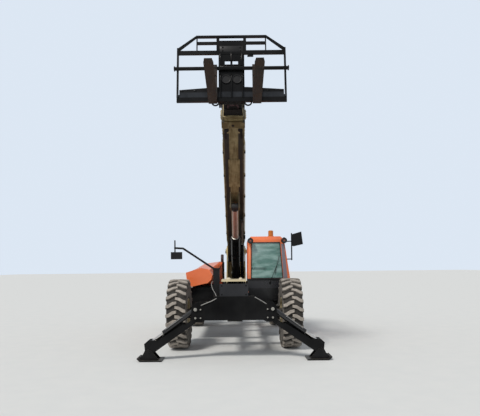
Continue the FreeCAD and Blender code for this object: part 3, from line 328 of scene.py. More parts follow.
def mark_tread(piece, how_high):
    """Writes how far out of the grooves each point of a tyre stands, for its dust and the painted shade in its
    grooves.
    """
    tread = piece.data.attributes.new("tread", "FLOAT", "POINT")
    for i, point in enumerate(piece.data.vertices):
        tread.data[i].value = how_high(point.co)


ring_of_copies = tree_of_copies("ring_of_copies", ("Piece", "Count", "Centre", "Finish"), about_the_hub)
for corner, side, axle_y in CORNERS:
    centre = (side * HUB_X, axle_y, HUB_Z)
    carcass = turned_ring("tyre_carcass_" + corner, CARCASS, centre, 96, rubber, "wheel_" + corner)
    mark_tread(carcass, lambda p: 0.45 if abs(p.x - side * HUB_X) > 0.176 else 0.05)
    points, faces = tread_bar(1, 0.0)
    more, more_faces = tread_bar(-1, math.pi / BAR_PAIRS)
    faces += [tuple(i + len(points) for i in face) for face in more_faces]
    bars = new_piece("tyre_bars_" + corner, points + more, faces, rubber)
    grow(bars, ring_of_copies, Count=BAR_PAIRS, Centre=centre, Finish=rubber)
    mark_tread(bars, lambda p: min(1.0, max(0.0, (math.hypot(p.y - axle_y, p.z - HUB_Z) - 0.640) / 0.035)))
    mounted(bars, "wheel_" + corner)
    for piece in (carcass, bars):
        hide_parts("tyre_" + corner)

# The rims: rolled steel with a dished plate, painted cream, each held by ten nuts on the
# hub of a planetary axle end; the paint is chalky with yard dust and rubbed at the nuts.
RIM_PLATE_X, NUT_RING = 0.0195, 0.150
HUB_CAP = ((0.0, 0.0), (0.091, 0.0), (0.093, 0.003), (0.093, 0.010), (0.086, 0.016), (0.060, 0.022),
           (0.024, 0.024), (0.022, 0.030), (0.0, 0.030))


def times(colour, factor):
    """A colour made darker or lighter."""
    return tuple(c * factor for c in colour)


def paint(name, colour, worn, dust=0.3, gloss=0.28, flake=0.5, coat=0.35, sheen=0.5):
    """Sprayed machine paint: a faint orange peel, faded blots, rubbed specks and settled dust."""
    material, shader, place, facing = new_finish(name, Coat_Roughness=0.12, shine=sheen)
    fade = place.mottle(1.3, 4.0).ramp(0.3, 0.7)
    tint = fade.blend(times(colour, 0.86), tuple(min(1.0, c * 1.12 + 0.012) for c in colour))
    rain = place.stretched(9.0, 9.0, 0.7).mottle(1.6, 4.0).ramp(0.52, 0.75)
    settled = facing.axis("Z").ramp(0.35, 0.95) * 0.85 + rain * 0.15
    grime_and_shade = (place.mottle(6.0, 6.0, 0.65).ramp(0.42, 0.68) * 0.7 + 0.3) * settled * dust
    tint = grime_and_shade.blend(tint, (0.30, 0.26, 0.205))
    rubbed = place.mottle(38.0, 6.0, 0.75).ramp(0.70, 0.74) * place.mottle(2.2, 2.0).ramp(0.50, 0.66) * flake
    feed(shader, Base_Color=rubbed.blend(tint, worn), Roughness=fade * 0.08 + grime_and_shade * 0.5 + gloss,
         Coat_Weight=(1.0 - grime_and_shade) * (1.0 - rubbed) * coat,
         Normal=dent(place.mottle(180.0, 2.0) * 0.35 + place.mottle(4.0, 2.0) + rubbed * -0.3, 0.16, 0.002))
    return material


def dress(material, *nodes):
    """Gives CAD nodes their finish."""
    for name in nodes:
        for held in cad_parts[name].material_slots:
            held.material = material


rim_cream = paint("rim_cream", (0.56, 0.47, 0.29), (0.14, 0.10, 0.07), dust=0.7, gloss=0.42)


def mottled(name, dark, pale, blots, rough, grain=None, **fixed):
    """Two close colours in blots, a roughness of (scale, span, least) and a fine grain."""
    material, shader, place, facing = new_finish(name, **fixed)
    feed(shader, Base_Color=place.mottle(*blots).blend(dark, pale),
         Roughness=place.mottle(rough[0]) * rough[1] + rough[2])
    if grain:
        feed(shader, Normal=dent(place.mottle(*grain[2:]), *grain[:2]))
    return material


zinc = mottled("zinc_bolts", (0.30, 0.29, 0.27), (0.58, 0.56, 0.50), (40.0,), (90.0, 0.25, 0.32),
               (0.1, 0.0005, 300.0), Metallic=1.0)


def nut(across, height):
    """A hexagon nut on its washer, standing along +X from the origin."""
    points, faces = [], []
    foot = 0.18 * height
    rings = ((1.35, 0.0), (1.35, foot), (1.0, foot), (1.0, 0.86 * height), (0.88, height))
    for grow_by, out in rings:
        for k in range(6):
            turn = math.pi * k / 3.0
            points.append((out, across * grow_by * math.cos(turn), across * grow_by * math.sin(turn)))
    for ring in range(len(rings) - 1):
        for k in range(6):
            m = (k + 1) % 6
            faces.append((ring * 6 + k, ring * 6 + m, ring * 6 + 6 + m, ring * 6 + 6 + k))
    top = (len(rings) - 1) * 6
    faces.append(tuple(range(top, top + 6)))
    faces.append(tuple(reversed(range(6))))
    return points, faces


for corner, side, axle_y in CORNERS:
    dress(rim_cream, "rim_" + corner)
    points, faces = nut(0.017, 0.026)
    points = [(side * x, y + NUT_RING, z) for x, y, z in points]
    nuts = new_piece("wheel_nuts_" + corner, points, faces, zinc)
    grow(nuts, ring_of_copies, Count=10, Centre=(side * (HUB_X + RIM_PLATE_X), axle_y, HUB_Z), Finish=zinc)
    mounted(nuts, "wheel_" + corner)
    turned_ring("hub_cap_" + corner, HUB_CAP, (side * (HUB_X + 0.110), axle_y, HUB_Z), 48, rim_cream,
                "wheel_" + corner, way=side)

# The axles and steering knuckles: ribbed iron castings painted black and caked with mud
# splash underneath, bolted up under the rails.
cast_black = paint("cast_black", (0.008, 0.008, 0.009), (0.10, 0.07, 0.05), dust=0.4, gloss=0.45, coat=0.03,
                   sheen=0.18)
dress(cast_black, "front_axle", "rear_axle", "knuckle_front_left", "knuckle_front_right",
      "knuckle_rear_left", "knuckle_rear_right", "engine_block")


def at_the_points(points, size, facing):
    """A washer and a hexagon head at every point, turned to face Facing."""
    shapes = []
    for sides, across, deep, lift in ((16, "Y", 0.25, 0.125), (6, "X", 1.0, 0.5)):
        drum = size.node("GeometryNodeMeshCylinder", values={
            "Vertices": sides, "Radius": size.axis(across), "Depth": size.axis("Z") * deep})
        rise = size.node("ShaderNodeCombineXYZ", values={2: size.axis("Z") * lift})
        shapes.append(drum.node("GeometryNodeTransform", values={"Geometry": drum, "Translation": rise}))
    both = size.node("GeometryNodeJoinGeometry", values={0: shapes[0]})
    size.tree.links.new(shapes[1].socket, both.socket.node.inputs[0])
    align = size.node("FunctionNodeAlignRotationToVector", {"axis": "Z"}, {"Vector": facing})
    return size.node("GeometryNodeInstanceOnPoints",
                     values={"Points": points, "Instance": both, "Rotation": align})


bolts_at_points = tree_of_copies("bolts_at_points", ("Piece", "Size", "Facing", "Finish"), at_the_points)


def bolts(name, points, finish, body, size, facing):
    """Hexagon bolts on their washers at listed points: size is head, washer and height."""
    mesh = bpy.data.meshes.new(name)
    mesh.from_pydata([Vector(p) for p in points], [], [])
    piece = grow(linked(name, mesh), bolts_at_points, Finish=finish, Size=size, Facing=facing)
    return mounted(soften(piece, 30.0), body)


BOLT_RING = 0.125
for end, axle_y in AXLES.items():
    for side in (1, -1):
        ring = [(side * 0.150, axle_y + BOLT_RING * math.cos(turn), HUB_Z + BOLT_RING * math.sin(turn))
                for turn in (math.pi * k / 4 for k in range(8))]
        bolts("axle_bolts_%s_%d" % (end, side + 1), ring, cast_black, "chassis",
              (0.013, 0.019, 0.014), (float(side), 0.0, 0.0))

# The frame: two plate rails welded to cross members, gloss black below, with the tower that
# carries the boom pivot in the boom's cream; the cab beams and rear weight are black too.
BLACK = (0.0028, 0.0029, 0.0033)
# CREAM is darker than the cream of the bosses: painted shade for the boom, seen from below; the tower takes
# the same cream.
CREAM = (0.50, 0.405, 0.215)
frame_black = paint("frame_black", BLACK, (0.05, 0.04, 0.03), dust=0.08, gloss=0.18, coat=0.04, sheen=0.09)
boom_cream = paint("boom_cream", (0.62, 0.54, 0.39), (0.12, 0.09, 0.07), dust=0.10, gloss=0.30)


def painted_over(low, name):
    """A copy of a finish, with its shader, its place and the colour that it had."""
    material = low.copy()
    material.name = name
    tree = material.node_tree
    shader = tree.nodes["Principled BSDF"]
    place = Tone(tree, tree.nodes.new("ShaderNodeTexCoord").outputs["Object"])
    return material, shader, place, Tone(tree, shader.inputs["Base Color"].links[0].from_socket)


def two_tone(name, low, high, split):
    """A black lower part that changes to cream above a masked line."""
    material, shader, place, was = painted_over(low, name)
    above = place.axis("Z").ramp(split, split + 0.004)
    cream = place.mottle(1.3, 4.0).ramp(0.3, 0.7).blend(times(high, 0.86), times(high, 1.1))
    feed(shader, Base_Color=above.blend(was, cream))
    return material


dress(two_tone("tower_paint", frame_black, CREAM, 1.185), "main_frame")
guard_grey = paint("guard_grey", (0.013, 0.0135, 0.016), (0.06, 0.05, 0.04), dust=0.12, gloss=0.30, coat=0.1,
                   sheen=0.25)
dress(two_tone("nose_paint", guard_grey, (0.60, 0.51, 0.33), 1.346), "nose_guard")
dress(frame_black, "counterweight", "engine_bay", "fuel_tank")
dress(paint("beam_black", BLACK, (0.05, 0.04, 0.03), dust=0.10, gloss=0.62, coat=0.0, sheen=0.05),
      "stabilizer_beam")

# The outriggers: boxed black legs on a cross beam at the nose, pinned at the shoulder with
# zinc-plated pins that a bolted keeper holds, and plate feet scuffed to bare steel below.
dress(frame_black, "leg_left", "leg_right")
dress(paint("barrel_black", (0.006, 0.006, 0.007), (0.06, 0.05, 0.04), dust=0.05, gloss=0.22, coat=0.5,
            sheen=0.4), "leg_barrel_left", "leg_barrel_right")
dress(paint("foot_black", BLACK, (0.10, 0.08, 0.06), dust=0.22, gloss=0.30, flake=0.8, coat=0.05, sheen=0.14),
      "pad_left", "pad_right")
LEG_X, LEG_Y, LEG_PIN_Z, BARREL_PIN_Z, EAR_Y = 0.665, -2.225, 0.735, 0.880, 0.119
PIN_CAP = ((0.0, 0.0), (0.030, 0.0), (0.030, 0.010), (0.026, 0.014), (0.012, 0.014), (0.010, 0.011),
           (0.0, 0.011))
SMALL_CAP = 0.62
for name, side in SIDES.items():
    for i, (z, part) in enumerate(((LEG_PIN_Z, SMALL_CAP), (BARREL_PIN_Z, 1.0))):
        for face, way in (("front", -1), ("back", 1)):
            turned_ring("leg_pin_%s_%d_%s" % (name, i, face), [(r * part, a) for r, a in PIN_CAP],
                        (side * LEG_X, LEG_Y + way * EAR_Y, z), 32, zinc, "chassis", 1, way)

# The nose guard: a slate plate box on the cross beam with four bolts in its front, under a
# cream ledge that carries two turned bosses.
for i, (x, wide) in enumerate(((-0.090, 0.048), (0.118, 0.034))):
    turned_ring("nose_boss_%d" % i, ((0.0, 0.0), (wide, 0.0), (wide, 0.018), (wide * 0.88, 0.025),
                                     (wide * 0.58, 0.027), (wide * 0.54, 0.038), (0.0, 0.040)),
                (x, -2.215, 1.3835), 28, boom_cream, "chassis", axis=2)
PANEL_LEAN = 0.139
bolts("nose_panel_bolts",
      [(x, -2.2985 + PANEL_LEAN * (z - 1.1), z) for x in (-0.21, 0.21) for z in (1.13, 1.28)],
      frame_black, "chassis", (0.009, 0.014, 0.009), (0.0, -1.0, 0.14))

# The boom: four box sections of folded plate, one inside the other, cream with rain streaks
# and painted shade under them and at the mouth, the two innermost painted near black as shade;
# the mouth has a doubled collar with bolted wear-pad plates on its sides.
PIVOT_Y, PIVOT_Z, BOOM_TURN = 3.425, 2.050, math.radians(36.5)


def on_boom(u, x, w):
    """A point u ahead of the pivot along the boom, x across and w above its axis."""
    c, s = math.cos(BOOM_TURN), math.sin(BOOM_TURN)
    return (x, PIVOT_Y - u * c + w * s, PIVOT_Z + u * s + w * c)


def boom_axes(place):
    """How far along and above the boom's axis a place on it is."""
    c, s = math.cos(BOOM_TURN), math.sin(BOOM_TURN)
    y, z = place.axis("Y") - PIVOT_Y, place.axis("Z") - PIVOT_Z
    return z * s - y * c, y * s + z * c


def boom_paint(name, outer):
    """The cream of the frame with rain streaks and painted shade below and at the mouth; the outer section has
    strips, a dark lip, and painted shade on its lower edges and ears too.
    """
    material, shader, place, facing = new_finish(name, Coat_Roughness=0.12)
    u, w = boom_axes(place)
    fade = place.mottle(1.1, 5.0).ramp(0.3, 0.7)
    tint = fade.blend(times(CREAM, 0.84), times(CREAM, 1.1))
    streak = place.stretched(14.0, 2.0, 1.0).mottle(2.0, 5.0, 0.65).ramp(0.46, 0.72)
    # Painted shade: the underside is darkened for the shade it lies in, and the part by the mouth too.
    below = w.ramp(-0.262, -0.278)
    mouth = u.ramp(4.56, 4.62) * place.axis("Z").fall(5.25, 5.30) * 0.25
    grime_and_shade = (streak * 0.30 + below * (place.mottle(5.0, 5.0).ramp(0.34, 0.62) * 0.32 + 0.62)) * 0.9 + mouth
    tint = grime_and_shade.blend(tint, (0.090, 0.058, 0.017))
    if outer:
        side = place.axis("X").sum("ABSOLUTE", place.axis("X"))
        strip = side.ramp(0.094, 0.104) * side.fall(0.199, 0.206) * w.fall(-0.2795, -0.2775)
        middle = w.ramp(-0.2885, -0.2905) * side.fall(0.130, 0.131)
        tint = (strip * (1.0 - middle) * u.fall(4.42, 4.44)).blend(tint, (0.012, 0.009, 0.006))
        # Painted shade on the underside's outer edges and on the ears that carry the lift cylinder's eye.
        rim = below * side.ramp(0.206, 0.212) * u.fall(4.42, 4.60) * 0.75
        lip = side.ramp(0.185, 0.195) * u.ramp(4.735, 4.745) * 0.85
        ear_shade = w.ramp(-0.300, -0.330) * u.fall(3.0, 3.1) * 0.6
        tint = rim.most(lip).most(ear_shade).blend(tint, (0.028, 0.024, 0.014))
    rubbed = place.mottle(30.0, 6.0, 0.75).ramp(0.70, 0.74) * place.mottle(2.0, 2.0).ramp(0.52, 0.68)
    feed(shader, Base_Color=rubbed.blend(tint, (0.14, 0.09, 0.06)), Roughness=grime_and_shade * 0.4 + fade * 0.08 + 0.28,
         Coat_Weight=(1.0 - grime_and_shade) * 0.3,
         Normal=dent(place.mottle(160.0, 2.0) * 0.35 + place.mottle(3.0, 2.0), 0.16, 0.002))
    return material


dress(boom_paint("boom_outer_paint", True), "boom_outer")
boom_cream = boom_paint("boom_inner_paint", False)
# Near black: painted shade on the two innermost sections, which are cream, and in the mouth slot; the strip
# hooks and the head spine take it too.
neck_black_and_shade = paint("neck_black_and_shade", (0.007, 0.0048, 0.0044), (0.05, 0.035, 0.03), dust=0.2, gloss=0.3, coat=0.05,
                   sheen=0.14)
dress(boom_cream, "boom_mid1")
dress(neck_black_and_shade, "boom_mid2", "boom_fly")


def plate(name, outline, place_at, low, high, finish, body, bevel=0.003):
    """A flat plate: its outline in two axes of place_at, its thickness along the third."""
    points = [place_at(a, b, low) for a, b in outline] + [place_at(a, b, high) for a, b in outline]
    n = len(outline)
    faces = [tuple(range(n)), tuple(range(n, 2 * n))]
    faces += [(k, (k + 1) % n, n + (k + 1) % n, n + k) for k in range(n)]
    piece = new_piece(name, points, faces, finish)
    edge = piece.modifiers.new("edge", "BEVEL")
    edge.width = bevel
    edge.segments = 2
    edge.limit_method = "ANGLE"
    return mounted(soften(settled(piece), 40.0), body)


def slab(a0, a1, b0, b1):
    return ((a0, b0), (a1, b0), (a1, b1), (a0, b1))


# The mouth slot is a near-black plate: painted shade inside the slot.
plate("mouth_slot", slab(4.640, 4.690, -0.035, 0.020), on_boom, -0.3315, -0.328, neck_black_and_shade, "outer_boom",
      0.001)
for side in (-1, 1):
    hook = ((4.30, side * 0.196), (4.56, side * 0.196), (4.56, side * 0.100), (4.49, side * 0.100),
            (4.47, side * 0.140), (4.30, side * 0.152))
    plate("strip_hook_%d" % (side + 1), hook, on_boom, -0.294, -0.287, neck_black_and_shade, "outer_boom", 0.002)
ring_brown = paint("ring_brown", (0.040, 0.018, 0.020), (0.05, 0.03, 0.03), dust=0.2, gloss=0.4, coat=0.05,
                   sheen=0.2)
half_ring = ((5.015, 0.118), (5.075, 0.118), (5.10, 0.09), (5.07, 0.07), (5.055, 0.088), (5.015, 0.088))
plate("wear_pad_keeper", [(u, -x) for u, x in half_ring[:3]] + [half_ring[i] for i in (2, 1, 0, 5, 4, 3)]
      + [(u, -x) for u, x in half_ring[3:]], on_boom, -0.226, -0.2105, ring_brown, "fly_boom", 0.002)
BOOM_SIDE, COLLAR_SIDE, PAD_BOLT = 0.2325, 0.2685, (0.010, 0.015, 0.010)
PIVOT_CAP = ((0.0, 0.0), (0.062, 0.0), (0.062, 0.012), (0.056, 0.018), (0.0, 0.018))


def on_boom_side(u, w, x):
    return on_boom(u, x, w)


for name, side in SIDES.items():
    way = (float(side), 0.0, 0.0)
    for i, u in enumerate((4.10, 4.36)):
        plate("pad_plate_%s_%d" % (name, i), slab(u - 0.06, u + 0.06, -0.17, 0.17), on_boom_side,
              side * BOOM_SIDE, side * (BOOM_SIDE + 0.008), boom_cream, "outer_boom")
        heads = [on_boom(u + du, side * (BOOM_SIDE + 0.007), w)
                 for du in (-0.038, 0.038) for w in (-0.14, 0.0, 0.14)]
        bolts("pad_plate_bolts_%s_%d" % (name, i), heads, zinc, "outer_boom", PAD_BOLT, way)
    bolts("collar_bolts_" + name,
          [on_boom(u, side * (COLLAR_SIDE - 0.001), w) for u in (4.648, 4.702) for w in (-0.03, 0.10)],
          zinc, "outer_boom", PAD_BOLT, way)
    turned_ring("pivot_cap_" + name, PIVOT_CAP, (side * 0.296, PIVOT_Y, PIVOT_Z), 40, zinc, "chassis",
                way=side)


def pipe(name, route, radius, finish, body, bend=True):
    """A steel pipe or rail bent along a route of points, its ends capped."""
    curve = bpy.data.curves.new(name, "CURVE")
    curve.dimensions = "3D"
    curve.bevel_depth = radius
    curve.bevel_resolution = 4
    curve.use_fill_caps = True
    line = curve.splines.new("NURBS" if bend else "POLY")
    line.points.add(len(route) - 1)
    for point, at in zip(line.points, route):
        point.co = (*at, 1.0)
    if bend:
        line.order_u = 3
        line.use_endpoint_u = True
        line.resolution_u = 8
    holder = linked(name + "_path", curve)
    view = bpy.context.evaluated_depsgraph_get()
    mesh = bpy.data.meshes.new_from_object(holder.evaluated_get(view))
    bpy.data.objects.remove(holder)
    mesh.materials.clear()
    mesh.materials.append(finish)
    return mounted(soften(linked(name, mesh), 50.0), body)


# The boom's service pipes: two bent steel tubes down each side of the outer section, held
# by bolted clamp blocks, that feed the extension cylinder inside and the carriage.
for name, side in SIDES.items():
    for i, w in enumerate((0.06, 0.095)):
        route = [on_boom(u, side * x, w + up) for u, x, up in
                 ((0.30, 0.222, -0.02), (0.40, 0.250, -0.01), (0.55, 0.252, 0.0), (2.2, 0.252, 0.0),
                  (3.80, 0.252, 0.0), (3.92, 0.251, 0.01), (3.98, 0.224, 0.02))]
        pipe("boom_pipe_%s_%d" % (name, i), route, 0.0105, boom_cream, "outer_boom")
    for i in range(5):
        u = 0.75 + 0.72 * i
        plate("pipe_clamp_%s_%d" % (name, i), slab(u - 0.02, u + 0.02, 0.036, 0.119), on_boom_side,
              side * (BOOM_SIDE - 0.001), side * 0.267, frame_black, "outer_boom", 0.004)
plate("line_clamp", slab(0.93, 1.05, 0.222, 0.264), on_boom, -0.310, -0.262, frame_black, "outer_boom",
      0.004)

# The outrigger lines: bent steel pipes from the frame over the beam's shoulders to the
# barrels' pins, a drain hose beside the mirror pylon, and the bolted keepers of the pins.
hose_grey = mottled("hose_grey", (0.16, 0.155, 0.15), (0.34, 0.33, 0.31), (30.0,), (60.0, 0.2, 0.35),
                    Metallic=0.3, shine=0.4)
LINES = (("left", 0.0085, ((0.360, -2.322, 1.085), (0.372, -2.336, 1.078), (0.450, -2.338, 1.035),
                           (0.530, -2.338, 0.985), (0.545, -2.336, 0.974), (0.560, -2.322, 0.966))),
         ("right", 0.0085, ((-0.300, -2.322, 1.070), (-0.315, -2.337, 1.060), (-0.400, -2.339, 1.015),
                            (-0.520, -2.339, 0.972), (-0.555, -2.337, 0.955), (-0.570, -2.322, 0.948))),
         ("pylon", 0.007, ((-0.368, -1.930, 1.352), (-0.392, -1.940, 1.350), (-0.408, -1.985, 1.290),
                           (-0.372, -2.080, 1.200), (-0.322, -2.180, 1.140), (-0.308, -2.200, 1.094))))
for name, radius, route in LINES:
    pipe("outrigger_line_" + name, route, radius, hose_grey, "chassis")


def upright(x, z, y):
    return (x, y, z)


for name, side in SIDES.items():
    for i, z in enumerate((BARREL_PIN_Z, LEG_PIN_Z)):
        keeper = slab(side * (LEG_X - 0.105), side * (LEG_X - 0.020), z - 0.016, z + 0.016)
        plate("pin_keeper_%s_%d" % (name, i), keeper, upright, -2.351, -2.3435, frame_black, "chassis",
              0.002)
    bolts("keeper_bolts_" + name, [(side * 0.575, -2.3505, z) for z in (BARREL_PIN_Z, LEG_PIN_Z)], zinc,
          "chassis", (0.008, 0.013, 0.009), (0.0, -1.0, 0.0))

# The tilt head and carriage: black welded frame of bars with a load guard on top, on a neck
# painted near black as shade, and two loose forks of rolled steel whose blades are worn brown
# and bright along the edges.
TILT_Y, TILT_Z = on_boom(6.044, 0.0, -1.499)[1:]
CARRIAGE_TURN = math.radians(9.5)
CARRIAGE_BACK, CARRIAGE_UP = -0.230, -0.120


def on_carriage(x, y, z):
    """A point of the carriage, y behind the forks' face and z above their underside."""
    c, s = math.cos(CARRIAGE_TURN), math.sin(CARRIAGE_TURN)
    y, z = y + CARRIAGE_BACK, z + CARRIAGE_UP
    return (x, TILT_Y + y * c + z * s, TILT_Z - y * s + z * c)


def on_its_face(x, z, y):
    return on_carriage(x, y, z)


carriage_black, shader, place, was = painted_over(frame_black, "carriage_black")
up = (place.axis("Z") - TILT_Z) * math.cos(CARRIAGE_TURN)
up = up + (place.axis("Y") - TILT_Y) * math.sin(CARRIAGE_TURN) - CARRIAGE_UP
blots = place.mottle(7.0, 4.0).ramp(0.3, 0.6) * 0.5 + 0.5
band = up.ramp(0.122, 0.132) * up.fall(0.205, 0.235) * blots
feed(shader, Base_Color=band.blend(was, (0.030, 0.033, 0.038)))
dress(carriage_black, "carriage")
fork_steel, shader, place, facing = new_finish("fork_steel", shine=0.25)
rust = place.mottle(7.0, 6.0, 0.7).ramp(0.40, 0.66)
scrape = place.stretched(26.0, 1.4, 26.0).mottle(2.0, 5.0, 0.7).ramp(0.55, 0.70)
tint = rust.blend((0.010, 0.008, 0.0065), (0.034, 0.017, 0.009))
feed(shader, Base_Color=(scrape * 0.4).blend(tint, (0.11, 0.085, 0.07)), Metallic=scrape * 0.4,
     Roughness=rust * 0.25 + 0.42, Normal=dent(rust * 0.5 + place.mottle(70.0, 4.0), 0.35, 0.002))
dress(fork_steel, "fork_left", "fork_right")

SHAFT_KNOB = ((0.0, 0.0), (0.030, 0.0), (0.030, 0.014), (0.042, 0.016), (0.042, 0.030), (0.036, 0.034),
              (0.0, 0.034))
for name, side in SIDES.items():
    turned_ring("shaft_knob_" + name, SHAFT_KNOB, on_carriage(side * 0.941, 0.035, 0.630), 32, frame_black,
                "carriage", way=side)
# each plate's outline, its front and back behind the forks' face, and its finish
CARRIAGE_PLATES = [("beam_clip_%d" % i, slab(x - 0.022, x + 0.022, 0.232, 0.262), 0.068, 0.078, frame_black)
                   for i, x in enumerate((-0.84, -0.62, 0.62, 0.84))]
CARRIAGE_PLATES += [("window_sill", slab(-0.200, 0.200, 0.668, 0.688), 0.052, 0.069, frame_black),
                    ("head_spine", slab(-0.011, 0.011, 0.792, 0.930), 0.052, 0.069, neck_black_and_shade),
                    ("stop_tab", slab(0.272, 0.376, 0.868, 0.912), 0.068, 0.084, frame_black),
                    ("head_band", slab(-0.20, 0.20, 0.955, 1.065), 0.058, 0.067, cast_black)]
HEAD_PORT = ((0.0, 0.0), (0.062, 0.0), (0.062, -0.006), (0.070, -0.010), (0.078, -0.010), (0.080, 0.0),
             (0.080, 0.012), (0.0, 0.012))
COUPLING_PIPE = ((0.215, 0.030), (0.235, -0.005), (0.275, -0.020), (0.315, -0.005), (0.335, 0.030),
                 (0.336, 0.052))
PIN_DISC = ((0.0, 0.0), (0.050, 0.0), (0.050, 0.008), (0.044, 0.012), (0.0, 0.012))
for side in (-1, 1):
    cheek = ((side * 0.200, 0.700), (side * 0.200, 0.930), (side * 0.172, 0.930), (side * 0.150, 0.700))
    CARRIAGE_PLATES.append(("head_cheek_%d" % (side + 1), cheek, 0.054, 0.068, frame_black))
    disc = turned_ring("head_port_%d" % (side + 1), HEAD_PORT, (0.0, 0.0, 0.0), 40, cast_black, axis=1)
    disc.data.transform(Matrix.Translation(on_carriage(side * 0.092, 0.056, 0.445))
                        @ Matrix.Rotation(-CARRIAGE_TURN, 4, "X"))
    mounted(disc, "carriage")
    pipe("coupling_pipe_%d" % (side + 1), [on_carriage(side * x, 0.090, z) for x, z in COUPLING_PIPE], 0.013,
         frame_black, "carriage")
    turned_ring("tilt_pin_cap_%d" % (side + 1), PIN_DISC, (side * 0.229, TILT_Y, TILT_Z), 32, zinc, "fly_boom",
                way=side)
for name, outline, front, back, finish in CARRIAGE_PLATES:
    plate(name, outline, on_its_face, front, back, finish, "carriage")
for i, x in enumerate((-0.186, 0.0, 0.186)):
    plate("head_rib_%d" % i, ((0.067, 0.10), (0.028, 0.14), (0.028, 0.50), (0.067, 0.56)),
          lambda y, z, x: on_carriage(x, y, z), x - 0.007, x + 0.007, frame_black, "carriage", 0.0015)
bolts("head_bolts", [on_carriage(x, 0.057, z) for x in (-0.15, 0.15) for z in (0.98, 1.04)], cast_black,
      "carriage", (0.011, 0.017, 0.012), (0.0, -math.cos(CARRIAGE_TURN), math.sin(CARRIAGE_TURN)))

# The cylinders: black barrels with a threaded gland, bands and a steel feed pipe, and rods
# of hard chrome with an oil film and fine wipe marks, their eyes painted black.
def rod_finish(name, eyes, reach, film=0.0, dark=1.0):
    """Chrome away from the rod's eyes under an oil film, and black paint on the eyes."""
    material, shader, place, facing = new_finish(name)
    near = None
    for eye in eyes:
        away = place.node("ShaderNodeVectorMath", {"operation": "DISTANCE"}, {0: place, 1: eye}, out="Value")
        mask = away.fall(reach, reach + 0.002)
        near = mask if near is None else near.most(mask)
    wipe = place.mottle(14.0, 5.0, 0.7).ramp(0.45, 0.75)
    clean, oily = [tuple(c * dark * (1.0 - film * k) for c, k in zip(tone, (0.60, 0.74, 0.80)))
                   for tone in ((0.80, 0.77, 0.74), (0.62, 0.56, 0.52))]
    feed(shader, Base_Color=near.blend(wipe.blend(clean, oily), (0.010, 0.010, 0.011)),
         Metallic=(1.0 - near) * (1.0 - film * 0.55), Roughness=near * 0.2 + wipe * 0.12 + 0.07 + film * 0.33,
         Normal=dent(place.mottle(240.0, 2.0), 0.04, 0.0005))
    return material


LIFT_BASE, LIFT_EYE = (0.0, PIVOT_Y - 0.150, PIVOT_Z - 1.000), on_boom(2.4, 0.0, -0.5)
SLAVE_BASE, SLAVE_EYE = (0.172, PIVOT_Y - 0.2, PIVOT_Z - 0.9), on_boom(1.8, 0.172, -0.42)
TILT_BASE, TILT_EYE = on_boom(5.805, 0.0, -0.1), on_carriage(0.0, 0.230, 0.290)
LEG_TURN, LEG_ALONG, LEG_ABOVE = math.radians(-35.0), 0.93, 0.10
leg_eye = (LEG_X + LEG_ALONG * math.cos(LEG_TURN) - LEG_ABOVE * math.sin(LEG_TURN),
           LEG_PIN_Z + LEG_ALONG * math.sin(LEG_TURN) + LEG_ABOVE * math.cos(LEG_TURN))
LEG_BASES, LEG_EYES = [{name: (side * x, LEG_Y, z) for name, side in SIDES.items()}
                       for x, z in ((LEG_X, BARREL_PIN_Z), leg_eye)]
dress(rod_finish("lift_rod_chrome", [LIFT_EYE], 0.125, film=0.9), "lift_rod")
dress(rod_finish("slave_rod_chrome", [SLAVE_EYE], 0.075, film=0.9, dark=0.3), "slave_rod")
dress(rod_finish("tilt_rod_chrome", [TILT_EYE], 0.07), "tilt_rod")
dress(rod_finish("leg_rod_chrome", LEG_EYES.values(), 0.062), "leg_rod_left", "leg_rod_right")
dress(frame_black, "lift_barrel", "slave_barrel", "tilt_barrel")


def collar_on(name, foot, eye, along, profile, finish, body):
    """A turned ring about the line from foot to eye, along metres from the foot."""
    way = (Vector(eye) - Vector(foot)).normalized()
    piece = turned_ring(name, profile, (0.0, 0.0, 0.0), 40, finish)
    piece.data.transform(Matrix.Translation(Vector(foot) + way * along)
                         @ way.to_track_quat("X", "Z").to_matrix().to_4x4())
    return mounted(piece, body)


# each gland's cylinder, its foot and eye, how far along it sits, and the two radii
GLANDS = [("lift", LIFT_BASE, LIFT_EYE, 1.900, 0.116, 0.078, "lift_barrel"),
          ("slave", SLAVE_BASE, SLAVE_EYE, 1.450, 0.042, 0.024, "slave_barrel"),
          ("tilt", TILT_BASE, TILT_EYE, 0.800, 0.055, 0.030, "tilt_barrel")]
GLANDS += [("leg_" + name, LEG_BASES[name], LEG_EYES[name], 0.700, 0.045, 0.025, "leg_%s_barrel" % name)
           for name in SIDES]
for name, foot, eye, along, barrel, rod, body in GLANDS:
    collar_on("gland_" + name, foot, eye, along,
              ((rod + 0.001, 0.0), (barrel * 0.86, 0.0), (barrel * 0.86, 0.008), (barrel * 0.70, 0.014),
               (rod + 0.008, 0.014), (rod + 0.001, 0.010)), zinc, body)
for name, foot, eye, along, radius, body in (("lift_a", LIFT_BASE, LIFT_EYE, 0.42, 0.116, "lift_barrel"),
                                             ("lift_b", LIFT_BASE, LIFT_EYE, 1.25, 0.116, "lift_barrel"),
                                             ("slave_a", SLAVE_BASE, SLAVE_EYE, 0.5, 0.042, "slave_barrel")):
    band = [(radius + 0.004, -0.02), (radius + 0.006, -0.017)]
    band = [(radius - 0.002, -0.02), *band, *((r, -a) for r, a in reversed(band)), (radius - 0.002, 0.02)]
    collar_on("band_" + name, foot, eye, along, band, frame_black, body)


def pipe_on_barrel(name, foot, eye, up, route, radius, finish, body):
    """A pipe along a barrel: each place is so far from its foot and so far out along up."""
    way = (Vector(eye) - Vector(foot)).normalized()
    across = up(way)
    pipe(name, [Vector(foot) + way * along + across * out for along, out in route], radius, finish, body)


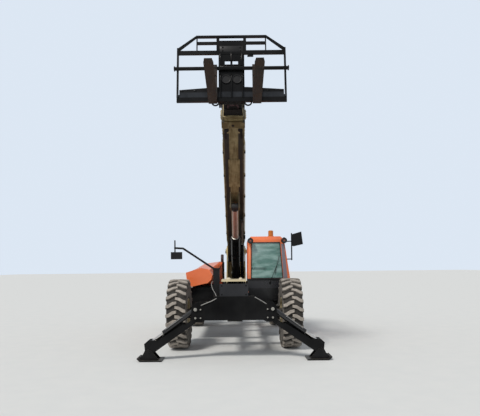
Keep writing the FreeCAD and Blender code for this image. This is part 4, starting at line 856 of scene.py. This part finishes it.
lift_way = (Vector(LIFT_EYE) - Vector(LIFT_BASE)).normalized()
port = Vector(LIFT_BASE) + lift_way * 0.56
bolts("barrel_port", [(-0.1155, port.y, port.z)], zinc, "lift_barrel", (0.020, 0.027, 0.026),
      (-1.0, 0.0, 0.0))
LIFT_PIPE = ((0.28, 0.112), (0.34, 0.138), (0.54, 0.140), (1.58, 0.140), (1.78, 0.138), (1.83, 0.112))
LEG_SHEEN_LINE = ((0.270, 0.040), (0.278, 0.053), (0.300, 0.055), (0.600, 0.055), (0.622, 0.053), (0.630, 0.040))
pipe_on_barrel("barrel_pipe_lift", LIFT_BASE, LIFT_EYE, lambda way: Vector((0.0, way.z, -way.y)), LIFT_PIPE,
               0.0125, frame_black, "lift_barrel")
# A thin grey pipe along the front top of each leg barrel: a painted highlight, the barrel's sheen drawn as a
# light line.
for name, side in SIDES.items():
    pipe_on_barrel("leg_pipe_" + name, LEG_BASES[name], LEG_EYES[name],
                   lambda way: Vector((-0.60 * way.z * side, -0.80, 0.60 * way.x * side)), LEG_SHEEN_LINE, 0.0065,
                   hose_grey, "leg_%s_barrel" % name)

# The cab: a welded steel shell in safety orange with a grey cowl in front and painted shade,
# near black, below it, wide tinted panes held in rubber with painted reflections on the windscreen,
# a door on the left and a wiper parked across the windscreen.
ORANGE = (0.94, 0.190, 0.055)
GLASS_LOW, GLASS_HIGH = 1.340, 2.150
FRONT_LOW, FRONT_HIGH = (0.025, 1.330), (0.150, 2.205)


def front_y(z):
    """The cab's front face at height z."""
    (y0, z0), (y1, z1) = FRONT_LOW, FRONT_HIGH
    return y0 + (y1 - y0) * (max(z, z0) - z0) / (z1 - z0)


def on_front(x, z, d):
    """A point d behind the cab's front face."""
    return (x, front_y(z) + d, z)


orange_paint = paint("orange_paint", ORANGE, (0.12, 0.05, 0.03), dust=0.20, gloss=0.25, flake=0.35)
cab_paint, shader, place, was = painted_over(orange_paint, "cab_paint")
# The front of the shell below the glass, and its inner side, take the cowl's dark grey; below z 1.13 it is
# near black, painted shade for the space under the cab.
below_glass = place.axis("Z").fall(GLASS_LOW - 0.002, GLASS_LOW)
cowl_and_shade = place.axis("Y").fall(0.040, 0.042) * below_glass
cowl_and_shade = cowl_and_shade.most(place.axis("X").fall(0.279, 0.283) * below_glass)
lower = place.axis("Z").fall(1.128, 1.130)
feed(shader, Base_Color=cowl_and_shade.blend(was, lower.blend((0.015, 0.015, 0.018), (0.0035, 0.0035, 0.004))))
dress(cab_paint, "cab_shell")
dress(orange_paint, "cab_door")

glass, shader, place, facing = new_finish("tinted_glass", Base_Color=(0.10, 0.19, 0.18), Roughness=0.03,
                                          IOR=1.5, shine=0.8)
smear = place.stretched(2.0, 2.0, 6.0).mottle(2.0, 5.0, 0.6).ramp(0.45, 0.75)
film = place.axis("Z").ramp(1.75, 1.38) * 0.5 + smear * 0.5
screen = place.axis("Y").fall(0.162, 0.168)
# Painted reflections on the windscreen: bands of sky, a dark band low on the left and a paler upper left
# corner.
reflected_sky_bands = place.stretched(1.2, 1.0, 4.2).mottle(2.4, 3.0, 0.5).ramp(0.40, 0.62)
reflected_dark_band = place.axis("Z").ramp(1.515, 1.540) * place.axis("Z").fall(1.575, 1.600)
reflected_dark_band = reflected_dark_band * place.axis("X").fall(0.660, 0.740) * 0.7
reflected_bright_corner = place.axis("Z").ramp(1.66, 2.02) * place.axis("X").fall(0.500, 0.860) * 0.55
painted_reflection = reflected_sky_bands.blend((0.120, 0.265, 0.225), (0.340, 0.520, 0.475))
painted_reflection = reflected_dark_band.blend(reflected_bright_corner.blend(painted_reflection, (0.47, 0.62, 0.60)), (0.04, 0.09, 0.075))
feed(shader, Alpha=film * 0.14 + 0.40 + screen * 0.34, Roughness=film * 0.12 + 0.02,
     Base_Color=screen.blend(film.blend((0.055, 0.13, 0.125), (0.22, 0.30, 0.29)), painted_reflection))
dress(glass, "cab_glass", "door_glass")

seal_rubber = mottled("seal_rubber", (0.010, 0.010, 0.010), (0.028, 0.027, 0.026), (20.0,),
                      (60.0, 0.2, 0.55), (0.2, 0.001, 200.0), shine=0.3)
moulding = mottled("black_moulding", (0.007, 0.007, 0.008), (0.017, 0.017, 0.018), (5.0, 4.0),
                   (40.0, 0.15, 0.42), (0.25, 0.0008, 420.0, 2.0), shine=0.2)
dress(moulding, "cab_console")


def gasket(name, outline, place_at, low, high, width, body):
    """A closed rubber strip round a pane: its outline, and the same drawn in by its width."""
    n = len(outline)
    middle = Vector((sum(p[0] for p in outline) / n, sum(p[1] for p in outline) / n))
    inner = []
    for a, b in outline:
        to = middle - Vector((a, b))
        inner.append((a + math.copysign(width, to.x), b + math.copysign(width, to.y)))
    points = [place_at(a, b, d) for d in (low, high) for loop in (outline, inner) for a, b in loop]
    faces = []
    for k in range(n):
        m = (k + 1) % n
        faces += [(k, m, n + m, n + k), (2 * n + k, 2 * n + m, 3 * n + m, 3 * n + k),
                  (k, m, 2 * n + m, 2 * n + k), (n + k, n + m, 3 * n + m, 3 * n + k)]
    return new_piece(name, points, faces, seal_rubber, body)


SCREEN = ((0.345, GLASS_LOW), (1.062, GLASS_LOW), (1.012, GLASS_HIGH), (0.365, GLASS_HIGH))
gasket("windscreen_seal", SCREEN, on_front, -0.004, 0.030, 0.016, "chassis")
gasket("rear_pane_seal", slab(0.400, 1.020, 1.420, 2.060), upright, 1.485, 1.527, 0.016, "chassis")
WIPER_ARM = ((0.770, -0.012, 1.245), (0.768, -0.030, 1.260), (0.850, -0.022, 1.450), (0.930, -0.016, 1.640))
WIPER_BLADE = ((0.880, -0.010, 1.450), (0.932, -0.010, 1.640), (0.985, -0.010, 1.840))
pipe("wiper_arm", [on_front(x, z, d) for x, d, z in WIPER_ARM], 0.0055, moulding, "chassis")
pipe("wiper_blade", [on_front(x, z, d) for x, d, z in WIPER_BLADE], 0.006, seal_rubber, "chassis",
     bend=False)
turned_ring("wiper_pivot", ((0.0, 0.012), (0.026, 0.012), (0.026, -0.012), (0.018, -0.020), (0.0, -0.020)),
            (0.770, 0.025, 1.245), 24, moulding, "chassis", axis=1)
# A grey-lavender strip between the windscreen and the door-side post: painted reflection of the sky in the
# corner pane.
corner_reflection_grey = mottled("corner_reflection_grey", (0.20, 0.18, 0.21), (0.29, 0.265, 0.30), (4.0, 4.0), (30.0, 0.1, 0.36),
                    (0.15, 0.0008, 300.0), shine=0.4)
plate("corner_reflection_strip", ((1.068, 1.346), (1.158, 1.346), (1.100, 2.110), (1.031, 2.110)), on_front, -0.004, 0.006,
      corner_reflection_grey, "chassis", 0.002)
# The post left of the windscreen gets a paler orange plate: a painted highlight on the orange post.
post_highlight_orange = paint("post_highlight_orange", (0.90, 0.29, 0.13), (0.12, 0.05, 0.03), dust=0.15, gloss=0.3, flake=0.2)
plate("left_post_highlight", ((0.298, 1.350), (0.328, 1.350), (0.348, 2.140), (0.318, 2.140)), on_front, -0.003,
      0.006, post_highlight_orange, "chassis", 0.002)
plate("cowl_lip", slab(0.300, 1.180, 1.304, 1.334), upright, 0.006, 0.034, moulding, "chassis",
      0.004)

# The work lamps, beacon and tail lamps: round rubber-bodied lamps at the roof's front corners
# with ribbed clear lenses, an amber ribbed dome on top, and red lenses on the rear weight.
LAMP_X, LAMP_OUT, LAMP_Z = 0.7175, 0.3725, 2.175
lens, shader, place, facing = new_finish("lamp_lens", Metallic=0.35, Roughness=0.12, shine=0.8)
flutes = place.ribs("X", 18.0)
high, aside = place.axis("Z") - LAMP_Z, place.axis("X") - LAMP_X
aside = aside.sum("ABSOLUTE", aside) - LAMP_OUT
away = high * high + aside * aside
# The lenses are dark with an orange centre.
orange_centre = away.fall(0.012 ** 2, 0.022 ** 2)
feed(shader, Base_Color=orange_centre.blend(flutes.blend((0.015, 0.014, 0.014), (0.04, 0.035, 0.035)),
                                          flutes.blend((0.30, 0.07, 0.03), (0.42, 0.12, 0.06))),
     Normal=dent(flutes, 0.4, 0.001))
dress(moulding, "work_lamp_left", "work_lamp_right")
BEZEL = ((0.050, 0.004), (0.062, 0.004), (0.0635, -0.004), (0.060, -0.010), (0.054, -0.010), (0.050, -0.004))
LENS = ((0.0, 0.003), (0.051, 0.003), (0.051, -0.003), (0.035, -0.007), (0.0, -0.009))
for name, side in SIDES.items():
    at = (LAMP_X + side * LAMP_OUT, -0.010, LAMP_Z)
    turned_ring("lamp_bezel_" + name, BEZEL, at, 40, moulding, "chassis", axis=1)
    turned_ring("lamp_lens_" + name, LENS, at, 40, lens, "chassis", axis=1)
amber, shader, place, facing = new_finish("amber_lens", Roughness=0.12, shine=0.6,
                                          Transmission_Weight=0.25)
ribs = place.ribs("Z", 26.0)
feed(shader, Base_Color=ribs.blend((0.55, 0.16, 0.015), (0.80, 0.28, 0.03)), Normal=dent(ribs, 0.5, 0.002))
dress(amber, "beacon")
red_lens, shader, place, facing = new_finish("red_lens", Roughness=0.15, shine=0.6)
ribs = place.ribs("X", 22.0)
feed(shader, Base_Color=ribs.blend((0.30, 0.008, 0.006), (0.50, 0.018, 0.012)), Normal=dent(ribs, 0.4, 0.001))
dress(red_lens, "tail_lamp_left", "tail_lamp_right")

# The mirrors: black moulded heads on bent steel arms, the right one far out on the boom
# side, with silvered glass turned back to the driver.
dress(moulding, "mirror_left", "mirror_right")
silver, shader, place, facing = new_finish("mirror_glass", Metallic=1.0)
feed(shader, Base_Color=place.mottle(3.0).blend((0.70, 0.73, 0.75), (0.80, 0.82, 0.83)),
     Roughness=place.mottle(8.0, 4.0).ramp(0.5, 0.8) * 0.15 + 0.02)
plate("right_mirror_glass", slab(-1.128, -0.948, 1.768, 1.872), upright, -1.861, -1.857, silver, "chassis",
      0.001)
plate("left_mirror_glass", ((1.290, 2.295), (1.452, 2.345), (1.482, 2.105), (1.318, 2.065)), upright, 0.081,
      0.085, silver, "chassis", 0.001)

# The engine hood: one orange pressing over the right side, hinged along the boom, with a row
# of louvres in its flank, two latches and a black seal under its rim.
dress(orange_paint, "hood")


def in_a_row(piece, count, step):
    """Copies of the piece, each moved on by Step."""
    line = count.node("GeometryNodeMeshLine", values={"Count": count, "Offset": step})
    return line.node("GeometryNodeInstanceOnPoints", values={"Points": line, "Instance": piece})


row_of_copies = tree_of_copies("row_of_copies", ("Piece", "Count", "Step", "Finish"), in_a_row)
BOX_FACES = [(0, 1, 2, 3), (4, 5, 6, 7), (0, 1, 5, 4), (1, 2, 6, 5), (2, 3, 7, 6), (3, 0, 4, 7)]


def louvres(name, a, b, tall, count, step, finish, body):
    """Pressed louvres in the right flank: closed wedges from a to b, each a step further on."""
    points = [(p[0] + out, p[1], p[2] + up) for p in (a, b)
              for out, up in ((0.004, 0.0), (0.004, tall), (-0.016, tall * 0.15), (-0.016, 0.0))]
    piece = new_piece(name, points, BOX_FACES, finish)
    grow(piece, row_of_copies, Count=count, Step=step, Finish=finish)
    return mounted(soften(piece, 30.0), body)


def flank(y, z):
    """The x of the hood's slanted flank at a place along and up it."""
    t = (y + 0.225) / 2.055
    low, high = (-1.020 - 0.110 * t, 1.168 - 0.018 * t), (-1.060 - 0.060 * t, 1.490 + 0.010 * t)
    return low[0] + (high[0] - low[0]) * (z - low[1]) / (high[1] - low[1])


louvres("hood_louvres", (flank(0.62, 1.215), 0.62, 1.215), (flank(1.42, 1.215), 1.42, 1.215), 0.030, 6,
        ((flank(1.0, 1.415) - flank(1.0, 1.215)) / 5.0, 0.0, 0.040), orange_paint, "hood")
louvres("bay_louvres", (-1.1195, 0.10, 0.800), (-1.1195, 0.90, 0.800), 0.026, 4, (0.0, 0.0, 0.038),
        frame_black, "chassis")

# The operator's seat: black vinyl over foam, blown up as cloth, sewn into channels, with a
# moulded pan below and a shell behind; it stands on the box that the console carries.
vinyl, shader, place, facing = new_finish("seat_vinyl", shine=0.35)
worn = place.mottle(6.0, 5.0, 0.6).ramp(0.40, 0.70)
feed(shader, Base_Color=worn.blend((0.012, 0.012, 0.013), (0.034, 0.032, 0.031)), Roughness=worn * 0.15 + 0.42,
     Normal=dent(place.mottle(900.0, 2.0) + place.mottle(60.0, 3.0) * 0.6, 0.25, 0.0008))
SEAM_DEEP, SEAM_WIDE, SEAT_X = 0.007, 0.006, 0.725


def stuffed(name, corners, cap, channels):
    """A foam pad from its eight corners; channels gives how near a sewn line a place is."""
    pad = new_piece(name, corners, BOX_FACES, vinyl)
    edge = pad.modifiers.new("edge", "BEVEL")
    edge.width = 0.028
    edge.segments = 3
    voxels = pad.modifiers.new("voxels", "REMESH")
    voxels.mode = "VOXEL"
    voxels.voxel_size = 0.007
    settled(pad)
    before = [v.co.copy() for v in pad.data.vertices]
    cloth = pad.modifiers.new("swell", "CLOTH")
    cloth.settings.use_pressure = True
    cloth.settings.uniform_pressure_force = 4.0
    cloth.settings.effector_weights.gravity = 0.0
    for step in range(1, 21):
        bpy.context.scene.frame_set(step)
    settled(pad)
    for old, point in zip(before, pad.data.vertices):
        moved = point.co - old
        if moved.length > cap:
            point.co = old + moved * (cap / moved.length)
    bpy.context.scene.frame_set(1)
    pad.modifiers.new("finer", "SUBSURF").levels = 1
    settled(pad)
    sewn = [(v.index, v.normal.copy(), channels(v.co)) for v in pad.data.vertices]
    for index, out, near in sewn:
        pad.data.vertices[index].co -= out * (SEAM_DEEP * math.exp(-(near / SEAM_WIDE) ** 2))
    mounted(soften(pad, 80.0), "chassis")
    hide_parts("operator_seat")


stuffed("seat_cushion", [(0.518, 0.780, 1.222), (0.932, 0.780, 1.222), (0.932, 1.195, 1.222),
                         (0.518, 1.195, 1.222), (0.518, 0.780, 1.310), (0.932, 0.780, 1.318),
                         (0.932, 1.195, 1.300), (0.518, 1.195, 1.300)], 0.020,
        lambda p: min(abs(abs(p.x - SEAT_X) - 0.115), abs(p.y - 1.000)) if p.z > 1.30 else 1.0)
stuffed("seat_back", [(0.528, 1.142, 1.335), (0.922, 1.142, 1.335), (0.922, 1.228, 1.325),
                      (0.528, 1.228, 1.325), (0.548, 1.248, 1.905), (0.902, 1.248, 1.905),
                      (0.902, 1.310, 1.895), (0.548, 1.310, 1.895)],
        0.018, lambda p: min(abs(abs(p.x - SEAT_X) - 0.105), abs(p.z - 1.560))
        if p.y < 1.19 + (p.z - 1.33) * 0.14 else 1.0)
pan = plate("seat_pan", slab(0.512, 0.938, 0.772, 1.225), lambda x, y, z: (x, y, z), 1.1955, 1.224, moulding,
            "chassis", 0.006)
shell = plate("seat_shell", ((1.222, 1.200), (1.244, 1.200), (1.327, 1.880), (1.318, 1.925), (1.296, 1.880)),
              lambda y, z, x: (x, y, z), 0.540, 0.910, moulding, "chassis", 0.006)
for piece in (pan, shell):
    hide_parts("operator_seat")

# The exhaust: a short stack of plain steel pipe beside the hood, welded to the muffler
# inside and browned by heat, with a slanted open end.
exhaust_steel, shader, place, facing = new_finish("exhaust_steel", Metallic=0.7)
heat = place.mottle(9.0, 6.0, 0.7).ramp(0.38, 0.66)
feed(shader, Base_Color=heat.blend((0.070, 0.050, 0.052), (0.040, 0.022, 0.020)), Roughness=heat * 0.3 + 0.45,
     Normal=dent(heat, 0.3, 0.001))
dress(exhaust_steel, "exhaust")

# The tank, rear weight and hood fittings: a vented filler cap and two steel straps round the
# tank, red reflectors on the weight's ends, latches on the hood and a rail by the door.
TANK = ((0.2975, 0.5575), (1.0915, 0.5575), (1.1525, 0.6185), (1.1525, 0.8315), (0.2975, 0.8315))
for i, y in enumerate((0.420, 1.140)):
    plate("tank_strap_%d" % i, TANK, upright, y - 0.022, y + 0.022, zinc, "chassis", 0.001)
NECK = ((0.0, 0.004), (0.042, 0.004), (0.042, -0.030), (0.0, -0.030))
CAP = ((0.0, -0.028), (0.050, -0.028), (0.053, -0.033), (0.053, -0.052), (0.048, -0.058), (0.016, -0.060),
       (0.012, -0.066), (0.0, -0.066))
for name, profile, finish, slot in (("neck", NECK, frame_black, "frame"), ("cap", CAP, zinc, "chrome")):
    turned_ring("filler_" + name, profile, (0.960, 0.180, 0.735), 32, finish, "chassis", axis=1)
for name, side in SIDES.items():
    plate("reflector_" + name, slab(3.630, 3.730, 0.960, 1.010), lambda y, z, d: (d, y, z), side * 0.999,
          side * 1.005, red_lens, "chassis", 0.001)
for i, y in enumerate((0.45, 1.35)):
    plate("hood_latch_%d" % i, slab(y - 0.030, y + 0.030, 1.172, 1.236),
          lambda a, z, d: (flank(a, z) - d, a, z), -0.003, 0.007, moulding, "hood", 0.003)
pipe("grab_rail", ((1.196, 1.300, 1.372), (1.235, 1.300, 1.375), (1.244, 1.300, 1.400), (1.232, 1.300, 1.560),
                   (1.204, 1.300, 1.740), (1.194, 1.300, 1.770), (1.150, 1.300, 1.775)), 0.0125, moulding,
     "chassis")
